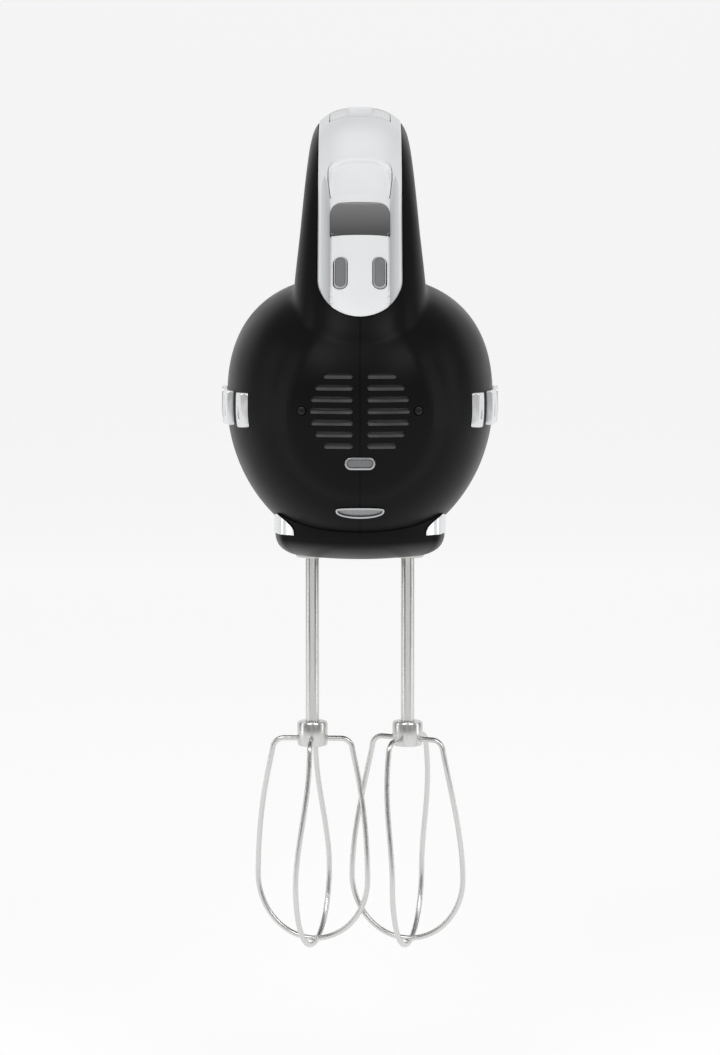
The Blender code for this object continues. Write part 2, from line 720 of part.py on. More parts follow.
def make_nose_details():
    turbo = nose_prism(stadium(*TURBO_SIZE), 0, TURBO_Z, 0.0009, 0.0045)
    y = nose_y(0, TURBO_Z)
    keep(turbo, "turbo_button", GREY, pivot("turbo_button_axis", (0, y, TURBO_Z)))

    y = nose_y(0, CRESCENT_Z)
    inlay = prism(crescent_outline(), (0, y + 0.0014 - GAP, CRESCENT_Z), (1, 0, 0), UP, 0.010)
    inlay = common(inlay, body_solid(0.0003))
    keep(inlay, "nose_crescent", CHROME)

    screen = rod((0, -0.0425, VENT_Z), (0, -0.0413, VENT_Z), VENT_RADIUS + 0.0006, segments=32)
    keep(screen, "vent_screen", GREY)
    for side, name in ((-1, "left_nose_screw"), (1, "right_nose_screw")):
        x = side * NOSE_SCREW_X
        y = nose_y(x, VENT_Z)
        screw = rod((x, y + 0.0003, VENT_Z), (x, y + 0.0058, VENT_Z), NOSE_SCREW_RADIUS, segments=16)
        screw = cut(screw, block((x - 0.0010, y, VENT_Z - 0.0003), (x + 0.0010, y + 0.0007, VENT_Z + 0.0003)))
        keep(screw, name, DARK)


def make_badges():
    """A plain ornament on each flank: a row of blocks on a thin rail."""
    inner = body_solid(GAP)
    thick = cut(body_solid(BADGE_PROUD), copy_of(inner))
    thin = cut(body_solid(BADGE_PROUD / 2.4), inner)
    half = BADGE_HEIGHT / 2
    blocks = []
    for front, rear in BADGE_YS:
        blocks.append(block((0.020, front, BADGE_Z - half), (0.080, rear, BADGE_Z + half)))
    front, rear = BADGE_YS[0][0] + 0.0010, BADGE_YS[-1][1] - 0.0010
    rail = common(thin, block((0.020, front, BADGE_Z - 0.0015), (0.080, rear, BADGE_Z + 0.0015)))
    bars = join(*blocks)
    badge = join(common(thick, bars), rail)
    keep(mirrored(badge), "left_badge", CHROME)
    keep(badge, "right_badge", CHROME)


def make_heel():
    outline = superellipse(0.0165, 0.0210, 3.2, 28)
    centre = Vector((0, HEEL_Y + GAP, 0.0545))
    outer = [(x * 0.92, z * 0.92) for x, z in outline]
    rings = []
    for y, shape in ((0.0, outline), (0.0022, outline), (HEEL_PAD, outer)):
        rings.append([centre + Vector((x, y, z)) for x, z in shape])
    keep(loft(rings), "heel_pad", RUBBER)

    gland = turned(
        [(0.0024, 0.0), (GLAND_RADIUS + 0.0012, 0.0), (GLAND_RADIUS + 0.0012, -0.0016), (GLAND_RADIUS, -0.0020),
         (GLAND_RADIUS, -0.0090), (0.0024, -0.0090), (0.0024, 0.0)],
        steps=24,
    )
    gland.matrix_world = Matrix.Translation((0, GLAND_Y, GLAND_Z)) @ Matrix.Rotation(-pi / 2, 4, "X")
    keep(baked(gland), "cord_gland", RUBBER)


# ---- controls that move ----
def make_switch():
    axis = pivot("power_switch_axis", (0, SWITCH_Y, 0.157))
    half = SWITCH_HALF_WIDTH
    rear = SWITCH_Y + SWITCH_LENGTH / 2
    front = SWITCH_Y - SWITCH_LENGTH / 2
    skin = common(block((-half, front, 0.150), (half, rear, 0.170)), cut(handle_solid(-0.0001), handle_solid(-0.0026)))
    thumb = block((-0.0043, SWITCH_Y - 0.0016, 0.1545), (0.0043, SWITCH_Y + 0.0016, 0.1592), 0.0005)
    keep(join(skin, thumb), "power_switch", SATIN, axis)


def make_ejector():
    axis = pivot("ejector_axis", (0, PLUNGER_Y, FORK_Z))
    layer = cut(handle_solid(-0.0004), handle_solid(-0.0038))
    button = common(eject_prism(), layer)
    foot = block((-0.0040, PLUNGER_Y - 0.0015, FORK_Z + 0.0010), (0.0040, PLUNGER_Y + 0.0015, BODY_TOP * 2))
    foot = common(foot, handle_solid(-0.0042))
    keep(button, "eject_button", SATIN, axis)

    reach = SPINDLE_X + 0.0030
    bar = block((-reach, PLUNGER_Y - 0.0040, FORK_Z), (reach, 0.0030, FORK_Z + FORK_THICKNESS))
    parts = [foot]
    for side in (-1, 1):
        x = side * SPINDLE_X
        parts.append(rod((x, 0, PIN_TOP + GAP), (x, 0, FORK_Z + 0.0010), 0.0026, segments=16))
    keep(join(bar, *parts), "eject_plunger", WHITE, axis)

    turns, radius, wire = 3, 0.0036, 0.00045
    low, high = COVER_TOP + GAP + wire, FORK_Z - GAP - wire
    steps = turns * 12
    points = []
    for i in range(steps + 1):
        t = 2 * pi * i / 12
        points.append((radius * cos(t), PLUNGER_Y + radius * sin(t), low + (high - low) * i / steps))
    keep(wire_solid(points, wire, 1), "eject_spring", STEEL)


def wire_solid(points, radius, resolution=2):
    """A round wire along points, as a closed mesh."""
    curve = bpy.data.curves.new("wire", "CURVE")
    curve.dimensions = "3D"
    curve.bevel_depth = radius
    curve.bevel_resolution = resolution
    curve.use_fill_caps = True
    spline = curve.splines.new("POLY")
    spline.points.add(len(points) - 1)
    for place, point in zip(spline.points, points):
        place.co = (*point, 1)
    made = bpy.data.objects.new("wire", curve)
    TOOLS.objects.link(made)
    made = baked(made)
    bm = bmesh.new()
    bm.from_mesh(made.data)
    bmesh.ops.remove_doubles(bm, verts=bm.verts, dist=0.000002)
    bpy.data.objects.remove(made, do_unlink=True)
    return from_bmesh("wire", bm)


# ---- drive ----
def make_gearbox():
    low, high = 0.0360, 0.0390
    wide = SPINDLE_X + 0.0160
    tray = block((-wide, -0.0200, low), (wide, 0.0200, high))
    added, holes = [], []
    for sx in (-1, 1):
        x = sx * SPINDLE_X
        added.append(rod((x, 0, 0.0300), (x, 0, 0.0425), 0.0075))
        holes.append(rod((x, 0, 0.020), (x, 0, 0.050), SPINDLE_RADIUS + GAP))
        for sy in (-1, 1):
            foot = (sx * (SPINDLE_X + (0.0030 if sy > 0 else -0.0045)), sy * 0.0120)
            added.append(rod((*foot, BASE_FLOOR + GAP), (*foot, low + 0.001), 0.0030, segments=12))
            post = (sx * (SPINDLE_X + 0.0130), sy * 0.0165)
            added.append(rod((*post, high - 0.001), (*post, COVER_TOP - 0.003 - GAP), 0.0026, segments=12))
    for y in BEARING_YS:
        added.append(block((-0.0090, y - 0.0022, high - 0.001), (0.0090, y + 0.0022, 0.0552)))
        holes.append(rod((0, y - MARGIN, MOTOR_Z), (0, y + MARGIN, MOTOR_Z), BEARING_RADIUS + GAP))
    keep(cut(join(tray, *added), *holes), "gearbox_tray", WHITE)

    wide += 0.0010
    cover = block((-wide, -0.0200, COVER_TOP - 0.003), (wide, 0.0200, COVER_TOP), 0.0006, 1)
    for side in (-1, 1):
        x = side * SPINDLE_X
        cover = cut(cover, rod((x, 0, 0.050), (x, 0, 0.070), 0.0034))
    keep(cover, "gearbox_cover", WHITE)
    for y, name in zip(BEARING_YS, ("front_bearing", "middle_bearing")):
        ring = tube((0, y - 0.0022, MOTOR_Z), (0, y + 0.0022, MOTOR_Z), BEARING_RADIUS, MOTOR_SHAFT_RADIUS + GAP)
        keep(ring, name, BRONZE)


def tooth_radius(offset, pitch, pitch_radius, outward=1):
    """Radius of a toothed form at offset from a tooth's middle, with sloped flanks."""
    half = pitch / 4 - BACKLASH / 2
    away = abs((offset + pitch / 2) % pitch - pitch / 2)
    rise = (half - away) / FLANK
    return pitch_radius + outward * max(-DEDENDUM, min(ADDENDUM, rise))


def make_motor_shaft(axis):
    """The armature shaft with its two-start worm cut into its front end."""
    around = 16
    worm_ys = list(np.arange(-WORM_HALF_LENGTH, WORM_HALF_LENGTH + 1e-9, WORM_PITCH / 6))
    stations = [(MOTOR_SHAFT_FRONT, 0), (-WORM_HALF_LENGTH - 0.0012, 0)]
    stations += [(y, 1) for y in worm_ys]
    stations += [(worm_ys[-1] + 0.0012, 0), (MOTOR_SHAFT_REAR, 0)]
    rings = []
    for y, threaded in stations:
        ring = []
        for i in range(around):
            t = 2 * pi * i / around
            r = MOTOR_SHAFT_RADIUS
            if threaded:
                r = tooth_radius(y - WORM_LEAD * t / (2 * pi), WORM_PITCH, WORM_PITCH_RADIUS)
            ring.append((r * cos(t), y, MOTOR_Z + r * sin(t)))
        rings.append(ring)
    keep(loft(rings), "motor_shaft", STEEL, axis)


def make_wheel(side, axis, name):
    """A worm wheel whose gaps lie on the worm's threads at rest."""
    x0 = side * SPINDLE_X
    mesh_angle = pi if side > 0 else 0.0
    pitch_angle = 2 * pi / WHEEL_TEETH
    twist = -(WORM_LEAD / (2 * pi)) / WORM_PITCH_RADIUS / WHEEL_PITCH_RADIUS
    half_tooth = (pi * MODULE / 4 - BACKLASH / 2) / WHEEL_PITCH_RADIUS
    rings = []
    for step in (-0.5, 0.0, 0.5):
        z = step * WHEEL_THICKNESS
        ring = []
        for tooth in range(WHEEL_TEETH):
            middle = mesh_angle + (tooth + 0.5) * pitch_angle + twist * z
            tip = half_tooth - ADDENDUM * FLANK / WHEEL_PITCH_RADIUS
            foot = half_tooth + DEDENDUM * FLANK / WHEEL_PITCH_RADIUS
            for angle, rise in ((-foot, -DEDENDUM), (-tip, ADDENDUM), (tip, ADDENDUM), (foot, -DEDENDUM)):
                r = WHEEL_PITCH_RADIUS + rise
                ring.append((x0 + r * cos(middle + angle), r * sin(middle + angle), MOTOR_Z + z))
        rings.append(ring)
    bore = SPINDLE_RADIUS + GAP
    hole = rod((x0, 0, MOTOR_Z - WHEEL_THICKNESS), (x0, 0, MOTOR_Z + WHEEL_THICKNESS), bore)
    keep(cut(loft(rings), hole), name, NYLON, axis)


def make_spindle(side, word):
    x = side * SPINDLE_X
    axis = pivot(word + "_spindle_axis", (x, 0, 0))
    bore = SHAFT_RADIUS + BORE_CLEARANCE
    spindle = tube((x, 0, SPINDLE_BOTTOM), (x, 0, SPINDLE_TOP), SPINDLE_RADIUS, bore)
    key = KEY_RADIUS + BORE_CLEARANCE
    half = KEY_HALF_WIDTH + BORE_CLEARANCE
    slot = block((x - half, -key, SPINDLE_BOTTOM - MARGIN), (x + half, key, SHAFT_TOP))
    keep(cut(spindle, slot), word + "_spindle", STEEL, axis)
    make_wheel(side, axis, word + "_worm_wheel")
    reach = SPINDLE_RADIUS + GAP
    keep(tube((x, 0, -BUSH_PROUD), (x, 0, BUSH_TOP), reach + BUSH_WALL, reach), word + "_socket_bush", WHITE)
    pin = rod((x, 0, SHAFT_TOP + GAP), (x, 0, PIN_TOP), SHAFT_RADIUS - PIN_CLEARANCE, segments=16)
    pin_axis = pivot(word + "_pin_axis", (x, 0, PIN_TOP))
    keep(pin, word + "_eject_pin", STEEL, pin_axis)


def make_motor():
    axis = pivot("rotor_axis", (0, 0, MOTOR_Z))
    make_motor_shaft(axis)
    shaft = MOTOR_SHAFT_RADIUS + GAP
    rear = STATOR_FRONT + STATOR_LENGTH

    core = rod((0, STATOR_FRONT, MOTOR_Z), (0, rear, MOTOR_Z), ARMATURE_RADIUS, segments=36)
    for i in range(9):
        t = 2 * pi * i / 9
        slot = block((-0.0010, STATOR_FRONT - MARGIN, 0.0090), (0.0010, rear + MARGIN, 0.0160))
        slot.matrix_world = Matrix.Translation((0, 0, MOTOR_Z)) @ Matrix.Rotation(t, 4, "Y")
        core = cut(core, baked(slot))
    bore = rod((0, 0, MOTOR_Z), (0, rear + MARGIN, MOTOR_Z), shaft)
    keep(cut(core, bore), "armature", LAMINATION, axis)
    end = COMMUTATOR_Y + COMMUTATOR_LENGTH
    keep(tube((0, COMMUTATOR_Y, MOTOR_Z), (0, end, MOTOR_Z), COMMUTATOR_RADIUS, shaft), "commutator", COPPER, axis)

    fan = tube((0, FAN_Y, MOTOR_Z), (0, FAN_Y + FAN_THICKNESS, MOTOR_Z), 0.0060, shaft)
    disc = tube((0, FAN_Y, MOTOR_Z), (0, FAN_Y + 0.0014, MOTOR_Z), FAN_RADIUS, 0.0045, 32)
    blades = []
    for i in range(10):
        blade = block((0.0050, FAN_Y + 0.0007, -0.0006), (FAN_RADIUS - 0.0005, FAN_Y + FAN_THICKNESS, 0.0006))
        lean = Matrix.Rotation(2 * pi * i / 10, 4, "Y") @ Matrix.Translation((0, 0, 0.0020))
        blade.matrix_world = Matrix.Translation((0, 0, MOTOR_Z)) @ lean
        blades.append(baked(blade))
    keep(join(fan, disc, *blades), "cooling_fan", WHITE, axis)

    stator = tube((0, STATOR_FRONT, MOTOR_Z), (0, rear, MOTOR_Z), STATOR_RADIUS, ARMATURE_RADIUS + AIR_GAP, 32)
    pocket = 0.0060
    for side in (-1, 1):
        low, high = sorted((side * 0.0105, side * 0.0185))
        stator = cut(stator, block((low, 0, MOTOR_Z - pocket), (high, 0.09, MOTOR_Z + pocket)))
    keep(stator, "stator_core", LAMINATION)
    for side, name in ((-1, "left_field_coil"), (1, "right_field_coil")):
        low, high = sorted((side * 0.0138, side * 0.0182))
        coil = block(
            (low, STATOR_FRONT - 0.0030, MOTOR_Z - pocket + GAP),
            (high, rear + 0.0030, MOTOR_Z + pocket - GAP),
            0.0012,
        )
        keep(coil, name, COPPER)

    bracket = block((-0.0255, 0.0850, MOTOR_Z - 0.0070), (0.0255, 0.0880, MOTOR_Z + 0.0070))
    rails = []
    for side in (-1, 1):
        low, high = sorted((side * 0.0225, side * 0.0255))
        rails.append(block((low, 0.0203, MOTOR_Z - 0.0050), (high, 0.0860, MOTOR_Z + 0.0050)))
    bracket = join(bracket, *rails)
    hole = rod((0, 0.080, MOTOR_Z), (0, 0.095, MOTOR_Z), BEARING_RADIUS + GAP)
    keep(cut(bracket, hole), "motor_bracket", STEEL)
    ring = tube((0, 0.0842, MOTOR_Z), (0, 0.0888, MOTOR_Z), BEARING_RADIUS, shaft)
    keep(ring, "rear_bearing", BRONZE)
    for side, name in ((-1, "left_brush"), (1, "right_brush")):
        low, high = sorted((side * (COMMUTATOR_RADIUS + GAP), side * 0.0190))
        middle = COMMUTATOR_Y + COMMUTATOR_LENGTH / 2
        keep(block((low, middle - 0.0028, MOTOR_Z - 0.0024), (high, middle + 0.0028, MOTOR_Z + 0.0024)), name, CARBON)

    keep(block((-0.0160, 0.0450, 0.0745), (0.0160, 0.1050, 0.0761)), "control_board", BOARD)
    fins = block((-0.0120, 0.0600, 0.0764), (0.0120, 0.0740, 0.0780))
    for i in range(5):
        x = -0.0108 + i * 0.0054
        fins = join(fins, block((x - 0.0007, 0.0600, 0.0775), (x + 0.0007, 0.0740, 0.0830)))
    keep(fins, "heat_sink", ALUMINIUM)


# ---- beaters ----
def loop_side(bottom):
    """(radius, z) of half a wire loop, from the hub to the foot of the cage."""
    points = [(0.0034, WIRE_EXIT_Z), (0.0072, WIRE_EXIT_Z)]
    centre = (SHOULDER_RADIUS - SHOULDER_BEND, WIRE_EXIT_Z - SHOULDER_BEND)
    for t in (90, 67, 45, 23, 3):
        a = radians(t)
        points.append((centre[0] + SHOULDER_BEND * cos(a), centre[1] + SHOULDER_BEND * sin(a)))
    top = centre[1] - 0.0030
    for share in (0.0, 0.2, 0.4, 0.6, 0.8):
        z = top + (CAGE_WIDEST_Z - top) * share
        away = (z - CAGE_WIDEST_Z) / (centre[1] - CAGE_WIDEST_Z)
        points.append((CAGE_RADIUS - (CAGE_RADIUS - SHOULDER_RADIUS) * away**1.7, z))
    for t in range(0, 90, 12):
        a = radians(t)
        points.append((CAGE_RADIUS * cos(a), CAGE_WIDEST_Z - (CAGE_WIDEST_Z - bottom) * sin(a)))
    return points


def loop_points(centre_x, top_angle, twist, bottom):
    """A whole loop: down one side, under the cage and up the other, twisted about the axis."""
    side = loop_side(bottom)
    flat = side + [(0.0, bottom)] + [(-r, z) for r, z in side[::-1]]
    points = []
    for r, z in flat:
        share = min(1.0, max(0.0, (WIRE_EXIT_Z - SHOULDER_BEND - z) / (WIRE_EXIT_Z - SHOULDER_BEND - CAGE_WIDEST_Z)))
        angle = top_angle + twist * share * share * (3 - 2 * share)
        points.append((centre_x + r * cos(angle), r * sin(angle), z))
    return points


def make_beater(side, word, top_angle):
    x = side * SPINDLE_X
    twist = side * CAGE_TWIST
    axis = pivot(word + "_beater_axis", (x, 0, 0))
    shaft = turned(
        [(0.0, SHAFT_TOP), (SHAFT_RADIUS * 0.55, SHAFT_TOP), (SHAFT_RADIUS, SHAFT_TOP - 0.0030),
         (SHAFT_RADIUS, HUB_BOTTOM + 0.0035), (0.0, HUB_BOTTOM + 0.0035)],
        (x, 0, 0),
        20,
    )
    ears = block((x - KEY_HALF_WIDTH, -KEY_RADIUS, 0.0330), (x + KEY_HALF_WIDTH, KEY_RADIUS, 0.0410))
    keep(join(shaft, ears), word + "_beater_shaft", STEEL, axis)

    hub = turned(
        [(0.0, HUB_TOP), (HUB_RADIUS - 0.0006, HUB_TOP), (HUB_RADIUS, HUB_TOP - 0.0006),
         (HUB_RADIUS, HUB_BOTTOM + 0.0006), (HUB_RADIUS - 0.0006, HUB_BOTTOM), (0.0, HUB_BOTTOM)],
        (x, 0, 0),
        32,
    )
    cutters = [rod((x, 0, HUB_BOTTOM + 0.0035 - GAP), (x, 0, HUB_TOP + MARGIN), SHAFT_RADIUS + GAP)]
    for turn in (0.0, pi / 2):
        along = Vector((cos(top_angle + turn), sin(top_angle + turn), 0)) * 0.0100
        middle = Vector((x, 0, WIRE_EXIT_Z))
        cutters.append(rod(middle - along, middle + along, WIRE_RADIUS + GAP, segments=12))
    keep(cut(hub, *cutters), word + "_beater_hub", STEEL, axis)

    for letter, turn, bottom in (("a", 0.0, CAGE_BOTTOM), ("b", pi / 2, CAGE_BOTTOM + 2 * WIRE_RADIUS + GAP)):
        points = loop_points(x, top_angle + turn, twist, bottom)
        keep(wire_solid(points, WIRE_RADIUS), f"{word}_beater_loop_{letter}", STEEL, axis)


# places that several pieces share
HEEL_PAD = 0.0030
GLAND_Y, GLAND_Z, GLAND_RADIUS = 0.1492, 0.1010, 0.0042
COVER_TOP = 0.0585
BEARING_YS = (-0.0155, 0.0155)
BEARING_RADIUS = 0.0052
BASE_SCREWS = ((-0.0190, 0.0260), (0.0190, 0.0260), (-0.0155, 0.0965), (0.0155, 0.0965))

clear_scene()
MIXER = new_collection("hand_mixer")
TOOLS = new_collection("cutters")

BLACK = material("satin_black", (0.012, 0.012, 0.013), 0.32)
CHROME = material("chrome", (0.82, 0.82, 0.84), 0.08, 1.0)
SATIN = material("satin_silver", (0.74, 0.74, 0.75), 0.30, 0.6)
STEEL = material("polished_steel", (0.62, 0.62, 0.62), 0.18, 1.0)
GREY = material("grey_button", (0.21, 0.21, 0.21), 0.45)
DARK = material("dark_screw", (0.05, 0.05, 0.05), 0.4, 0.6)
GLASS = material("display_glass", (0.06, 0.06, 0.065), 0.10)
RUBBER = material("rubber", (0.03, 0.03, 0.03), 0.8)
WHITE = material("white_nylon", (0.72, 0.72, 0.70), 0.5)
NYLON = material("gear_nylon", (0.62, 0.60, 0.52), 0.5)
BOARD = material("circuit_board", (0.03, 0.16, 0.07), 0.5)
COPPER = material("copper", (0.72, 0.35, 0.16), 0.3, 1.0)
LAMINATION = material("lamination", (0.20, 0.20, 0.21), 0.5, 0.8)
BRONZE = material("bronze", (0.55, 0.38, 0.20), 0.35, 1.0)
CARBON = material("carbon", (0.03, 0.03, 0.03), 0.6)
ALUMINIUM = material("aluminium", (0.70, 0.70, 0.71), 0.35, 1.0)

make_shells()
make_base()
make_band()
make_nose_details()
make_badges()
make_heel()
make_switch()
make_ejector()
make_gearbox()
for side, word in ((-1, "left"), (1, "right")):
    make_spindle(side, word)
make_motor()
make_beater(-1, "left", LEFT_TOP_ANGLE)
make_beater(1, "right", RIGHT_TOP_ANGLE)

for left_over in list(TOOLS.objects):
    left_over.hide_render = True
    left_over.display_type = "WIRE"
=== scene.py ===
from math import cos, hypot, pi, radians, sin, sqrt

import bmesh
import bpy
import numpy as np
from mathutils import Matrix, Vector
from mathutils.bvhtree import BVHTree


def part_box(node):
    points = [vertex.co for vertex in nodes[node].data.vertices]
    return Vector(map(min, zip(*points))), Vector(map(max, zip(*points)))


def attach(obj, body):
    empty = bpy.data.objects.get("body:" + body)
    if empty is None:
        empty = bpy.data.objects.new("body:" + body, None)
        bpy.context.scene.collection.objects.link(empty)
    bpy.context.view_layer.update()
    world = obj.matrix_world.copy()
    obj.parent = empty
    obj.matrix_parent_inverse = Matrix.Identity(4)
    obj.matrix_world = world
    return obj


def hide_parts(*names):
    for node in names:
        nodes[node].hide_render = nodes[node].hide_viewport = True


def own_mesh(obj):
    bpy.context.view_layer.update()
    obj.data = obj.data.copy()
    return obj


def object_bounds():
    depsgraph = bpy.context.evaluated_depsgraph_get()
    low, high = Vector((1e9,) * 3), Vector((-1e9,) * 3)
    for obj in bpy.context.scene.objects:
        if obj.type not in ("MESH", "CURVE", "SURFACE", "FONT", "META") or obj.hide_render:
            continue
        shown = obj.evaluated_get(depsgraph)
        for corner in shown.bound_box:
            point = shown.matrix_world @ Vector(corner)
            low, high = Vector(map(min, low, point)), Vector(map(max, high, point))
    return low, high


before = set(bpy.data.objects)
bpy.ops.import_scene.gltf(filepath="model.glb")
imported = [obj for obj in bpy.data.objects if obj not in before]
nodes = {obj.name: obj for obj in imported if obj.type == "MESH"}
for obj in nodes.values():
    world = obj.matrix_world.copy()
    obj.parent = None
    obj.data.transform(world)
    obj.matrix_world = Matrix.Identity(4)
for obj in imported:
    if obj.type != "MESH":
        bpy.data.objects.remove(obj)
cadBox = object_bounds()
print("frame loaded:", len(nodes), "nodes")

mm = 0.001
up = Vector((0, 0, 1))
right = Vector((1, 0, 0))
forward = Vector((0, -1, 0))
backward = Vector((0, 1, 0))
sides = ((-1, "left"), (1, "right"))


# materials


def srgb(code):  # "#rrggbb" to linear red, green, blue, alpha
    parts = [int(code[i : i + 2], 16) / 255 for i in (1, 3, 5)]
    return (*[p / 12.92 if p < 0.04045 else ((p + 0.055) / 1.055) ** 2.4 for p in parts], 1.0)


def addNode(tree, kind, settings=None, inputs=None, feeds=None):  # feeds: this node's output to another's socket
    node = tree.nodes.new(kind)
    for name, value in (settings or {}).items():
        setattr(node, name, value)
    for name, value in (inputs or {}).items():
        if isinstance(value, bpy.types.NodeSocket):
            tree.links.new(value, node.inputs[name])
        else:
            node.inputs[name].default_value = value
    for name, socket in (feeds or {}).items():
        tree.links.new(node.outputs[name], socket)
    return node


def bare(name, colour, roughness, metallic=0.0, **sockets):  # one underscore in a name stands for a space
    made = bpy.data.materials.new(name)
    made.use_nodes = True
    shader = made.node_tree.nodes["Principled BSDF"]
    values = {"Base Color": srgb(colour), "Roughness": roughness, "Metallic": metallic}
    values.update({socket.replace("_", " "): value for socket, value in sockets.items()})
    for socket, value in values.items():
        shader.inputs[socket].default_value = value
    return made, made.node_tree, shader


def finish(name, low, high, roughness, metallic=0.0, pattern=None, size=6, grain=0.4, depth=0.006, detail=2.0,
           stretch=(1, 1, 1), drift=None, **sockets):
    # Colour runs from low to high by a pattern, or in soft patches of a size. Over it lies a raised grain,
    # wide and deep in mm, stretched where lines run one way. Drift takes roughness between two values, in
    # patches of a size or along the grain.
    made, tree, shader = bare(name, low, roughness, metallic, **sockets)
    where = addNode(tree, "ShaderNodeTexCoord").outputs["Object"]
    lines = None
    if grain:
        mapped = addNode(tree, "ShaderNodeMapping", inputs={"Vector": where, "Scale": stretch})
        spots = {"Vector": mapped.outputs["Vector"], "Scale": 1 / (grain * mm), "Detail": detail}
        lines = addNode(tree, "ShaderNodeTexNoise", inputs=spots).outputs["Fac"]
        relief = {"Height": lines, "Distance": depth * mm, "Strength": 1.0}
        addNode(tree, "ShaderNodeBump", inputs=relief, feeds={"Normal": shader.inputs["Normal"]})
    if drift:
        least, most, patch = drift
        if patch:
            spots = {"Vector": where, "Scale": 1 / (patch * mm), "Detail": 3.0}
            lines = addNode(tree, "ShaderNodeTexNoise", inputs=spots).outputs["Fac"]
        span = {"Value": lines, "From Min": 0.35, "From Max": 0.65, "To Min": least, "To Max": most}
        addNode(tree, "ShaderNodeMapRange", inputs=span, feeds={"Result": shader.inputs["Roughness"]})
    if low == high:
        return made
    if pattern:
        share = pattern(tree, where)
    else:
        spots = {"Vector": where, "Scale": 1 / (size * mm), "Detail": 3.0}
        share = addNode(tree, "ShaderNodeTexNoise", inputs=spots).outputs["Fac"]
    ends = {"Factor": share, 6: srgb(low), 7: srgb(high)}
    addNode(tree, "ShaderNodeMix", {"data_type": "RGBA"}, ends, {2: shader.inputs["Base Color"]})
    return made


def metalFlake(tree, where):  # real flake is 0.03 mm, drawn coarser so that it shows
    cells = {"Vector": where, "Scale": 1 / (0.35 * mm)}
    return addNode(tree, "ShaderNodeTexVoronoi", inputs=cells).outputs["Distance"]


def litTopEdge(tree, where):  # up the window, from its foot to its upper edge
    split = addNode(tree, "ShaderNodeSeparateXYZ", inputs={"Vector": where})
    span = {"Value": split.outputs["Z"], "From Min": 0.1135, "From Max": 0.1245}
    return addNode(tree, "ShaderNodeMapRange", inputs=span).outputs["Result"]


def paintedGrooveShade(tree, where):  # painted shade: darker towards the groove, and less so up towards the scoop
    split = addNode(tree, "ShaderNodeSeparateXYZ", inputs={"Vector": where})
    aside = addNode(tree, "ShaderNodeMath", {"operation": "ABSOLUTE"}, {0: split.outputs["X"]}).outputs[0]
    across = {"Value": aside, "From Min": 0.0102, "From Max": 0.0138}
    along = {"Value": split.outputs["Z"], "From Min": 0.112, "From Max": 0.1345, "To Max": 0.7}
    shares = [addNode(tree, "ShaderNodeMapRange", inputs=span).outputs["Result"] for span in (across, along)]
    return addNode(tree, "ShaderNodeMath", {"operation": "MAXIMUM"}, {0: shares[0], 1: shares[1]}).outputs[0]


